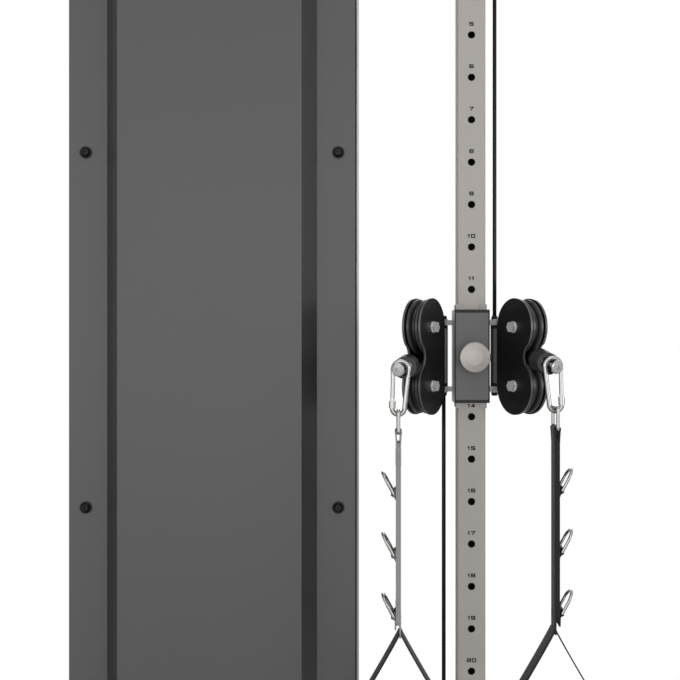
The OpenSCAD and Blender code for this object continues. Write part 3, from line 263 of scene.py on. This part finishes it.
# Zinc-plated bolts, washers and nuts on the pulley axles, and black oxide button screws in the shroud and the
# rear panel. Plating leaves a bright metal with faint clouds 8 mm wide; black oxide is a dark, oily skin.
def plated(name, colour, rough, cloud=0.08, scale=60.0):
    made = bpy.data.materials.new(name)
    made.use_nodes = True
    tree = made.node_tree
    shader = tree.nodes["Principled BSDF"]
    shader.inputs["Metallic"].default_value = 1.0
    place = add_node(tree, "ShaderNodeTexCoord")
    cloudy = add_node(tree, "ShaderNodeTexNoise", links={"Vector": place.outputs["Object"]},
                      Scale=scale, Detail=4.0)
    base = linear(colour)
    tone = add_node(tree, "ShaderNodeValToRGB", links={"Fac": cloudy.outputs["Fac"]})
    tone.color_ramp.elements[0].position = 0.3
    tone.color_ramp.elements[1].position = 0.75
    tone.color_ramp.elements[0].color = tuple(c * (1 - cloud) for c in base[:3]) + (1,)
    tone.color_ramp.elements[1].color = base
    tree.links.new(tone.outputs["Color"], shader.inputs["Base Color"])
    gloss = add_node(tree, "ShaderNodeMapRange", links={"Value": cloudy.outputs["Fac"]},
                     To_Min=rough - 0.06, To_Max=rough + 0.08)
    tree.links.new(gloss.outputs["Result"], shader.inputs["Roughness"])
    relief = add_node(tree, "ShaderNodeBump", links={"Height": cloudy.outputs["Fac"]},
                      Strength=0.04, Distance=0.0003)
    tree.links.new(relief.outputs["Normal"], shader.inputs["Normal"])
    return made


zinc = plated("zinc_plated_steel", "#c2c2c4", 0.26)
black_oxide = plated("black_oxide_steel", "#2b2b2d", 0.38)
front_screws_y, beside_upright, rear_screws_y = -0.012, 0.2, 0.09
mesh = dress("frame_fasteners", zinc, black_oxide)
for face in mesh.polygons:
    c = face.center
    if (c.y < front_screws_y and abs(c.x) > beside_upright) or c.y > rear_screws_y:
        face.material_index = 1

# Rubber pads, buffers and tube plugs: black rubber, moulded with a fine grain, drawn 0.8 mm wide. It is
# matte, with a faint bloom in the colour.
def moulded(name, colour, rough, grain_mm=0.8, relief_strength=0.12):
    made = bpy.data.materials.new(name)
    made.use_nodes = True
    tree = made.node_tree
    shader = tree.nodes["Principled BSDF"]
    shader.inputs["IOR"].default_value = 1.48
    place = add_node(tree, "ShaderNodeTexCoord")
    point = place.outputs["Object"]
    grain = add_node(tree, "ShaderNodeTexNoise", links={"Vector": point}, Scale=500 / grain_mm, Detail=3.0)
    bloom = add_node(tree, "ShaderNodeTexNoise", links={"Vector": point}, Scale=22.0, Detail=3.0)
    base = linear(colour)
    tone = add_node(tree, "ShaderNodeValToRGB", links={"Fac": bloom.outputs["Fac"]})
    tone.color_ramp.elements[0].position = 0.35
    tone.color_ramp.elements[1].position = 0.7
    tone.color_ramp.elements[0].color = base
    bloomed = 1.1
    tone.color_ramp.elements[1].color = tuple(min(1, c * bloomed) for c in base[:3]) + (1,)
    tree.links.new(tone.outputs["Color"], shader.inputs["Base Color"])
    gloss = add_node(tree, "ShaderNodeMapRange", links={"Value": grain.outputs["Fac"]},
                     To_Min=rough - 0.06, To_Max=rough + 0.06)
    tree.links.new(gloss.outputs["Result"], shader.inputs["Roughness"])
    relief = add_node(tree, "ShaderNodeBump", links={"Height": grain.outputs["Fac"]},
                      Strength=relief_strength, Distance=0.0002)
    tree.links.new(relief.outputs["Normal"], shader.inputs["Normal"])
    return made


rubber = moulded("moulded_rubber", "#1c1c1c", 0.68)
dress("rubber_feet", rubber)

# Guide rods, selector rod and pins: steel, ground and then hard-chromed. The plating is a clean mirror with a
# faint haze.
chrome = plated("hard_chrome", "#e4e4e6", 0.12, cloud=0.03)
dress("guide_rods", chrome)

# The weight plates: cast iron in matte black paint, slightly rough from the sand mould. The head has a nylon
# bush at each guide rod, a chromed selector rod and a zinc-plated bolt for the travelling pulley.
iron = coat("painted_cast_iron", "#27282a", 0.6, peel=0.35, speck=0.1, grain=0.003)
nylon_white = moulded("natural_nylon", "#d9d6cc", 0.45, relief_strength=0.03)
dress("standing_plates", iron)
dress("lifted_plates", iron)
mesh = dress("stack_head", iron, chrome, nylon_white, zinc)
tower_x, cable_y, half_spacing = -0.4585, 0.022, 0.11
head_z, selector_r, bush_r = 0.5815, 0.0125, 0.0208
bracket_z, bracket_y, travel_z, pulley_bolt_r = 0.66, 0.0182, 0.684, 0.0055
for face in mesh.polygons:
    c = face.center
    if c.z < head_z and math.hypot(c.x - tower_x, c.y - cable_y) < selector_r:
        face.material_index = 1
    elif math.hypot(abs(c.x - tower_x) - half_spacing, c.y - cable_y) < bush_r:
        face.material_index = 2
    elif c.z > bracket_z:
        on_bolt = math.hypot(c.x - tower_x, c.z - travel_z) < pulley_bolt_r
        if on_bolt or abs(c.y - cable_y) > bracket_y:
            face.material_index = 3

# The selector pin: a chromed rod with a nylon handle moulded on it. The handle is orange-red, so that it
# shows against the black stack.
handle_red = moulded("moulded_handle_nylon", "#c04a22", 0.38, relief_strength=0.05)
handle_y = 0.0705
mesh = dress("selector_pin", chrome, handle_red)
for face in mesh.polygons:
    if face.center.y > handle_y:
        face.material_index = 1

# The pulleys: black glass-filled nylon wheels, moulded with a dished web, with a pressed-in steel bearing.
# Their rims are painted a little paler, a painted highlight along the edge.
wheel_nylon = moulded("moulded_wheel_nylon", "#171718", 0.4, relief_strength=0.06)
# Painted highlight: a paler, glossier copy of the wheel nylon for the rims.
wheel_rim_highlight = moulded("wheel_rim_painted_highlight", "#363637", 0.3, relief_strength=0.04)
swing = math.radians(62)
bearing_r, rim_r = 0.0131, 0.0464
for node in [n for n in nodes if n.endswith("_pulley")]:
    mesh = dress(node, wheel_nylon, zinc, wheel_rim_highlight)
    low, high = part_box(node)
    centre = (low + high) / 2
    if node.startswith(("right_", "left_")):
        side = 1 if node.startswith("right_") else -1
        axle = Vector((side * math.sin(swing), math.cos(swing), 0))
    else:
        axle = Vector((0, 1, 0))
    for face in mesh.polygons:
        off = face.center - centre
        radius = (off - axle * off.dot(axle)).length
        if radius < bearing_r:
            face.material_index = 1
        # Faces beyond the rim radius take the painted highlight.
        elif radius > rim_r:
            face.material_index = 2

# The cable: steel strand in a smooth black nylon jacket, 7.2 mm thick, extruded and so a little glossy.
# Straight runs that grow or shrink with a slide are tubes of their own here.
jacket = moulded("extruded_nylon_jacket", "#0e0e0f", 0.26, relief_strength=0.02)
jacket.node_tree.nodes["Principled BSDF"].inputs["Specular IOR Level"].default_value = 0.25
cable_r, cable_sides, run_rings = 0.0036, 24, 12
for node in ("frame_cable", "right_block_cable", "left_block_cable"):
    dress(node, jacket)


def tube(name, start, end):
    made = bmesh.new()
    start, end = Vector(start), Vector(end)
    turn = (end - start).to_track_quat("Z", "Y")
    angles = [2 * math.pi * k / cable_sides for k in range(cable_sides)]
    rim = [Vector((cable_r * math.cos(a), cable_r * math.sin(a), 0)) for a in angles]
    loops = []
    for i in range(run_rings + 1):
        middle = start.lerp(end, i / run_rings)
        loops.append([made.verts.new(middle + turn @ corner) for corner in rim])
    for low, high in zip(loops, loops[1:]):
        for k in range(cable_sides):
            after = (k + 1) % cable_sides
            made.faces.new((low[k], low[after], high[after], high[k])).smooth = True
    made.faces.new(loops[0][::-1])
    made.faces.new(loops[-1])
    mesh = bpy.data.meshes.new(name)
    made.to_mesh(mesh)
    made.free()
    mesh.materials.append(jacket)
    shown = bpy.data.objects.new(name, mesh)
    bpy.context.scene.collection.objects.link(shown)
    return shown


top_z, low_z, cable_x = 2.12, 0.0632, 0.0462
low_box, high_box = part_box("right_run_cable")
run = tube("right_run_jacket", (cable_x, cable_y, low_box.z), (cable_x, cable_y, top_z))
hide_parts("right_run_cable")
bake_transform(run)
low_box, high_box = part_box("left_run_cable")
run = tube("left_run_jacket", (-cable_x, cable_y, low_z), (-cable_x, cable_y, high_box.z))
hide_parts("left_run_cable")
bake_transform(run)

# The loop over the weight stack: two straight runs and the bend under the travelling pulley, which rides with
# the stack.
run_r, bend_steps = 0.0436, 48
for name, x in (("stack_feed_jacket", tower_x + run_r), ("stack_return_jacket", tower_x - run_r)):
    run = tube(name, (x, cable_y, travel_z), (x, cable_y, top_z))
    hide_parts("stack_loop_cable")
    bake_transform(run)
bend = bmesh.new()
rows = []
for i in range(bend_steps + 1):
    a = math.pi + math.pi * i / bend_steps
    out = Vector((math.cos(a), 0, math.sin(a)))
    middle = Vector((tower_x, cable_y, travel_z)) + out * run_r
    angles = [2 * math.pi * k / cable_sides for k in range(cable_sides)]
    rows.append([bend.verts.new(middle + out * cable_r * math.cos(b) + Vector((0, cable_r * math.sin(b), 0)))
                 for b in angles])
for low, high in zip(rows, rows[1:]):
    for k in range(cable_sides):
        after = (k + 1) % cable_sides
        bend.faces.new((low[k], high[k], high[after], low[after])).smooth = True
bend_mesh = bpy.data.meshes.new("stack_bend_jacket")
bend.to_mesh(bend_mesh)
bend.free()
bend_mesh.materials.append(jacket)
stack_bend = bpy.data.objects.new("stack_bend_jacket", bend_mesh)
bpy.context.scene.collection.objects.link(stack_bend)
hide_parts("stack_loop_cable")
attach(stack_bend, "stack")

# The stretch of cable that comes out of the right block as its handle is pulled. It leaves the upper pulley
# on its pitch line and slopes down at 13 degrees.
tilt = math.radians(13)
block_reach, axle_half, carriage_z = 0.083, 0.051, 1.132
pull_from, pull_to = 0.104, 0.127
touch = Vector((block_reach - run_r * math.sin(tilt), axle_half - run_r * math.cos(tilt)))


def right_line(u):
    height = touch[1] - (u - touch[0]) * math.tan(tilt)
    return (cable_x + u * math.cos(swing), cable_y - u * math.sin(swing), carriage_z + height)


run = tube("right_pull_jacket", right_line(pull_from), right_line(pull_to))
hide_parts("right_pull_cable")
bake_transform(run)

# The carriage: a folded steel sleeve in light grey with plastic liners in a grey near the upright's, and a
# front cover that is a black dished frame round a flat grey plate.
light_coat = coat("light_grey_powder_coat", "#c4c4c3", 0.4)
dress("carriage_sleeve", light_coat)
liner = moulded("moulded_liner_acetal", "#a9a5a1", 0.45)
dress("carriage_liners", liner)
cover_black = coat("black_cover_powder_coat", "#1a1a1b", 0.42, peel=0.06, shine=0.3)
cover_grey = coat("grey_cover_powder_coat", "#5f5f60", 0.38, peel=0.04, speck=0.01)
plate_half_x, plate_half_z = 0.0283, 0.0763
plate_front_y, plate_back_y = -0.0379, -0.0370
mesh = dress("carriage_cover", cover_black, cover_grey)
for face in mesh.polygons:
    c = face.center
    on_plate = abs(c.x) < plate_half_x and abs(c.z - carriage_z) < plate_half_z
    if on_plate and plate_front_y < c.y < plate_back_y and abs(face.normal.y) > 0.9:
        face.material_index = 1

# The pull knob: turned aluminium, domed, satin anodised. The lathe leaves fine rings, drawn 1.7 mm apart so
# that they show.
satin = bpy.data.materials.new("satin_anodised_aluminium")
satin.use_nodes = True
tree = satin.node_tree
shader = tree.nodes["Principled BSDF"]
shader.inputs["Metallic"].default_value = 0.85
shader.inputs["Base Color"].default_value = linear("#9a9692")
knob_z = 1.131
place = add_node(tree, "ShaderNodeTexCoord")
centred = add_node(tree, "ShaderNodeMapping", {"vector_type": "POINT"},
                   links={"Vector": place.outputs["Object"]}, Location=(0, 0, -knob_z))
rings = add_node(tree, "ShaderNodeTexWave", {"wave_type": "RINGS", "rings_direction": "Y"},
                 links={"Vector": centred.outputs["Vector"]}, Scale=180.0, Distortion=0.4)
gloss = add_node(tree, "ShaderNodeMapRange", links={"Value": rings.outputs["Fac"]}, To_Min=0.36, To_Max=0.46)
tree.links.new(gloss.outputs["Result"], shader.inputs["Roughness"])
relief = add_node(tree, "ShaderNodeBump", links={"Height": rings.outputs["Fac"]},
                  Strength=0.05, Distance=0.0002)
tree.links.new(relief.outputs["Normal"], shader.inputs["Normal"])
dress("pull_knob", satin)

# Inside the carriage: the ground steel plunger with its yoke, and the coil spring that pushes the pins home.
dress("lock_plunger", chrome)
low_box, high_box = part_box("plunger_spring")
coil = bpy.data.objects.new("coil_spring", nodes["plunger_spring"].data.copy())
bpy.context.scene.collection.objects.link(coil)
coil.data.materials.clear()
coil.data.materials.append(zinc)
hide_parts("plunger_spring")
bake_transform(coil)

# The swivel blocks: bent steel cheeks and barrel in satin black coat. The cheeks' cut edges carry a painted
# highlight, a thin grey line where they catch the light. The axle bolts and pivot rings are zinc plated and
# bright.
block_coat = coat("satin_black_powder_coat", "#141415", 0.36, peel=0.06, shine=0.3)
bolt_zinc = plated("bright_zinc_bolts", "#efeff1", 0.34)
bolt_zinc.node_tree.nodes["Principled BSDF"].inputs["Metallic"].default_value = 0.55
# Painted highlight: a grey copy of the black coat for the cheeks' cut edges.
cut_edge_highlight = coat("painted_highlight_on_cut_edge", "#5a5a5b", 0.3, peel=0.04)
past_barrel, cheek_in, cheek_out, bolt_clear = 0.034, 0.0134, 0.0176, 0.02
for side, name in ((1, "right"), (-1, "left")):
    mesh = dress(name + "_block_frame", block_coat, cut_edge_highlight)
    dress(name + "_block_hardware", bolt_zinc)
    outward = Vector((side * math.cos(swing), -math.sin(swing), 0))
    axle = Vector((side * math.sin(swing), math.cos(swing), 0))
    pivot = Vector((side * cable_x, cable_y, carriage_z))
    for face in mesh.polygons:
        off = face.center - pivot
        u, across = off.dot(outward), abs(off.dot(axle))
        # Faces on the cheeks' cut edges, away from the bolts, get the painted highlight.
        if u > past_barrel and cheek_in < across < cheek_out and abs(face.normal.dot(axle)) < 0.2:
            if math.hypot(u - block_reach, abs(off.z) - axle_half) > bolt_clear:
                face.material_index = 1

# The stop sleeves: moulded black rubber over the cable's end, with a steel end bolt whose flat head fills
# the mouth.
sleeve_rubber = moulded("moulded_sleeve_rubber", "#1f1f20", 0.42, relief_strength=0.08)
end_bolt_r, end_bolt_depth = 0.0117, 0.0165
for side, name, slope, start_u, length in ((1, "right", 13, 0.112, 0.053), (-1, "left", 8, 0.121, 0.0439)):
    mesh = dress(name + "_stop_sleeve", sleeve_rubber, zinc)
    dip = math.radians(slope)
    level = math.cos(dip)
    axis = Vector((side * math.cos(swing) * level, -math.sin(swing) * level, -math.sin(dip)))
    if side > 0:
        start_z = right_line(start_u)[2]
    else:
        left_touch = Vector((block_reach + run_r * math.sin(dip), run_r * math.cos(dip) - axle_half))
        start_z = carriage_z + left_touch[1] - (start_u - left_touch[0]) * math.tan(dip)
    start_x = side * (cable_x + start_u * math.cos(swing))
    origin = Vector((start_x, cable_y - start_u * math.sin(swing), start_z))
    for face in mesh.polygons:
        off = face.center - origin
        along = off.dot(axis)
        radius = (off - axis * along).length
        if radius < end_bolt_r and along > length - end_bolt_depth:
            face.material_index = 1

# Snap hooks with their gates, rings and D-rings: round steel wire, bent, welded and polished. The polish is
# bright, with faint clouds about 10 mm wide.
polished = plated("polished_steel_wire", "#b4b3b1", 0.2, cloud=0.1, scale=45.0)
bright = plated("bright_steel_wire", "#b0afad", 0.24, cloud=0.1, scale=60.0)
for name in ("right", "left"):
    dress(name + "_hook", polished)
    dress(name + "_gate", polished)
    dress(name + "_ring", bright)
    for n in (1, 2, 3):
        dress("%s_d_ring_%d" % (name, n), bright)

# The straps: black polyester webbing, 37 mm wide and 2.8 mm thick, woven with ribs 2.1 mm apart. Its edges
# are rolled, and on the left strap they are painted paler, a painted highlight where the light falls on them.
# The folded end is sewn between the layers with box stitches; below the seam the webbing spreads into the
# stirrup.
webbing = bpy.data.materials.new("woven_polyester_webbing")
webbing.use_nodes = True
tree = webbing.node_tree
shader = tree.nodes["Principled BSDF"]
shader.inputs["Roughness"].default_value = 0.72
shader.inputs["Sheen Weight"].default_value = 0.12
shader.inputs["Sheen Roughness"].default_value = 0.4
place = add_node(tree, "ShaderNodeTexCoord")
ribs = add_node(tree, "ShaderNodeTexWave", {"wave_type": "BANDS", "bands_direction": "Z"},
                links={"Vector": place.outputs["Object"]}, Scale=150.0, Distortion=0.6, Detail=1.0)
warp = add_node(tree, "ShaderNodeTexWave", {"wave_type": "BANDS", "bands_direction": "Y"},
                links={"Vector": place.outputs["Object"]}, Scale=190.0, Distortion=0.3)
both = add_node(tree, "ShaderNodeMath", {"operation": "MULTIPLY"},
                links={0: ribs.outputs["Fac"], 1: warp.outputs["Fac"]})
tone = add_node(tree, "ShaderNodeValToRGB", links={"Fac": both.outputs[0]})
tone.color_ramp.elements[0].color = linear("#0f0f0f")
tone.color_ramp.elements[1].color = linear("#222222")
tree.links.new(tone.outputs["Color"], shader.inputs["Base Color"])
relief = add_node(tree, "ShaderNodeBump", links={"Height": both.outputs[0]}, Strength=0.5, Distance=0.0004)
tree.links.new(relief.outputs["Normal"], shader.inputs["Normal"])
thread = moulded("sewing_thread", "#3a3a3b", 0.6, relief_strength=0.1)
# Painted highlight: the left strap's edges are pale grey; the right strap and the stirrups keep dark edges.
selvedge = {1: moulded("dark_selvedge", "#0f0f0e", 0.7, relief_strength=0.3),
            -1: moulded("left_selvedge_painted_highlight", "#9b9b9a", 0.7, relief_strength=0.3)}
strap_y, web_half, web_t = -0.125, 0.0185, 0.0028


def band(name, side, path, half_width, thickness, strap, narrow=None):
    # A path of points in X and Z becomes a band of webbing with rolled edges
    made = bmesh.new()
    across = (-0.97, -0.6, -0.2, 0.2, 0.6, 0.97)
    section = [(-1, -0.25)] + [(s, -0.5) for s in across] + [(1, -0.25)]
    section += [(1, 0.25)] + [(s, 0.5) for s in reversed(across)] + [(-1, 0.25)]
    loops = []
    for i, (x, z) in enumerate(path):
        before, after = Vector(path[max(i - 1, 0)]), Vector(path[min(i + 1, len(path) - 1)])
        along = (after - before).normalized()
        normal = Vector((-along.y, along.x))
        w = half_width if narrow is None else narrow[i]
        ring = []
        for s, t in section:
            corner_x, corner_z = x + normal.x * t * thickness, z + normal.y * t * thickness
            ring.append(made.verts.new((side * corner_x, strap_y + s * w, corner_z)))
        loops.append(ring)
    k = len(section)
    for low, high in zip(loops, loops[1:]):
        for j in range(k):
            corners = (low[j], low[(j + 1) % k], high[(j + 1) % k], high[j])
            made.faces.new(corners if side > 0 else corners[::-1]).smooth = True
    made.faces.new(loops[0][::-1])
    made.faces.new(loops[-1])
    bmesh.ops.recalc_face_normals(made, faces=made.faces)
    for face in made.faces:
        if abs(face.normal.y) > 0.6:
            face.material_index = 1
    mesh = bpy.data.meshes.new(name)
    made.to_mesh(mesh)
    made.free()
    mesh.materials.append(webbing)
    mesh.materials.append(selvedge[1 if "stirrup" in name else side])
    shown = bpy.data.objects.new(name, mesh)
    bpy.context.scene.collection.objects.link(shown)
    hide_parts(strap)
    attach(shown, strap)


stitch_pitch, thread_half, thread_t = 0.0036, 0.00045, 0.0004


def stitches(name, side, seams, strap):
    # Short raised threads along straight seams, each given by its two ends on the webbing's face
    made = bmesh.new()
    for a, b, rise in seams:
        a, b = Vector(a), Vector(b)
        count = max(1, round((b - a).length / stitch_pitch))
        step = (b - a) / count
        for i in range(count):
            start, end = a + step * (i + 0.14), a + step * (i + 0.86)
            along = (end - start).normalized()
            across = along.cross(Vector((1, 0, 0))) * thread_half
            lift = Vector((rise, 0, 0))
            ring = [start - across, start + across, end + across, end - across]
            base = [made.verts.new(p) for p in ring]
            inset, half = along * 0.0004, across * 0.5
            crown = (start - half + inset, start + half + inset, end + half - inset, end - half - inset)
            top = [made.verts.new(p + lift) for p in crown]
            made.faces.new(top)
            for j in range(4):
                made.faces.new((base[j], base[(j + 1) % 4], top[(j + 1) % 4], top[j]))
    for v in made.verts:
        v.co.x *= side
    bmesh.ops.recalc_face_normals(made, faces=made.faces)
    mesh = bpy.data.meshes.new(name)
    made.to_mesh(mesh)
    made.free()
    mesh.materials.append(thread)
    shown = bpy.data.objects.new(name, mesh)
    bpy.context.scene.collection.objects.link(shown)
    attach(shown, strap)


strap_len, neck_drop, stirrup_h, stirrup_angle = 0.337, 0.024, 0.121, math.radians(31.5)
d_first, d_pitch, last_end, last_tail = 0.1, 0.101, 0.014, 0.012
ring_r, slide_gap = 0.003, 0.0003
leg_gap, leg_top, leg_run, leg_t, in_grip_half = 0.0012, 0.006, 0.127, 0.0023, 0.0112
tab_r, tab_reach, tab_half, tab_t = 0.0042, 0.0056, 0.0139, 0.0026
sewn_out, neck_out, tab_top, tab_neck, tab_foot = 0.0006, 0.001, 0.0072, 0.0052, 0.0105
seam_y, seam_lift = 0.0155, 0.00002
for side, name in ((1, "right"), (-1, "left")):
    strap = name + "_strap"
    low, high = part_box(name + "_ring")
    ring_x = side * (low.x + high.x) / 2
    bar_z = low.z + ring_r
    apex_z = bar_z - strap_len
    grip_z = apex_z - stirrup_h
    half_t = 1.5 * web_t
    outside = ring_x + half_t
    inner_x, outer_x = ring_x - half_t + web_t / 2, outside - web_t / 2
    loop_r = ring_r + slide_gap + web_t / 2
    neck_z = bar_z - neck_drop
    last_z = bar_z - d_first - 2 * d_pitch - last_end
    # The long layer comes up from the stirrup, goes round the ring and comes down again to the last tab
    round_ring = [(ring_x - loop_r * math.cos(a), bar_z + loop_r * math.sin(a))
                  for a in [math.radians(-30 + 240 * i / 24) for i in range(25)]]
    up = [(inner_x, apex_z + (neck_z - apex_z) * i / 30) for i in range(31)]
    down = [(outer_x, neck_z - (neck_z - last_z) * i / 24) for i in range(25)]
    layers = up + round_ring + down
    band(name + "_strap_layers", side, layers, web_half, web_t * 0.96, strap)
    # The folded end lies between them, a little narrower, and thicker so that no gap shows
    fold_z = neck_z + 0.008
    folded = [(ring_x, fold_z - (fold_z - last_z) * i / 24) for i in range(25)]
    band(name + "_folded_end", side, folded, web_half * 0.995, web_t * 1.05, strap)
    # The stirrup's two legs spread from the seam and turn in through the grip
    corner = stirrup_h * math.tan(stirrup_angle)
    for leg in (-1, 1):
        lean = [(inner_x + leg * (leg_gap + (corner - leg_gap) * (i / 20) ** 1.04),
                 apex_z + leg_top - (leg_run * i / 20)) for i in range(21)]
        turn_in = [(inner_x + leg * (corner - 0.002 - (corner - 0.004) * i / 12), grip_z - 0.0006)
                   for i in range(13)]
        narrowing = [web_half * 0.93, web_half * 0.85, web_half * 0.72]
        widths = [web_half] * 18 + narrowing + [in_grip_half] * 13
        where = "outer" if leg > 0 else "inner"
        band("%s_stirrup_%s" % (name, where), side, lean + turn_in, web_half, leg_t, strap, widths)
    # Tabs that hold the D-rings: short narrow loops, sewn flat on the outer layer
    tab_x = outside + tab_reach - web_t / 2
    for n in range(3):
        z = bar_z - d_first - n * d_pitch
        tab = [(outside + sewn_out, z + tab_top), (outside + neck_out, z + tab_neck)]
        angles = [math.radians(140 - 280 * i / 20) for i in range(21)]
        tab += [(tab_x - tab_r * math.cos(a), z + tab_r * math.sin(a)) for a in angles]
        tail = last_tail if n == 2 else 0
        tab += [(outside + neck_out, z - tab_top), (outside + sewn_out, z - tab_foot - tail)]
        band("%s_tab_%d" % (name, n + 1), side, tab, tab_half, tab_t, strap)
    # Box stitches: two on the outer layer, with a cross in each, and two on the inner one
    seams = []
    face_x, back_x = outside + seam_lift, ring_x - half_t - seam_lift
    for x, rise, top, bottom in ((face_x, thread_t, neck_z - 0.004, neck_z - 0.03),
                                 (face_x, thread_t, last_z + 0.034, last_z + 0.004),
                                 (back_x, -thread_t, neck_z - 0.004, neck_z - 0.03),
                                 (back_x, -thread_t, apex_z + 0.034, apex_z + 0.012)):
        low_y, high_y = strap_y - seam_y, strap_y + seam_y
        for y in (low_y, high_y):
            seams.append(((x, y, top), (x, y, bottom), rise))
        for z in (top, bottom):
            seams.append(((x, low_y, z), (x, high_y, z), rise))
        if rise > 0:
            seams.append(((x, low_y, top), (x, high_y, bottom), rise))
            seams.append(((x, high_y, top), (x, low_y, bottom), rise))
    stitches(name + "_seams", side, seams, strap)

# The grips: black plastic tubes, moulded with a collar at each end. The mould gives them a fine leather-like
# grain, drawn 1.6 mm wide so that it shows.
grip_plastic = moulded("grained_grip_plastic", "#1e1e1f", 0.5, grain_mm=1.6, relief_strength=0.35)
dress("right_grip", grip_plastic)
dress("left_grip", grip_plastic)
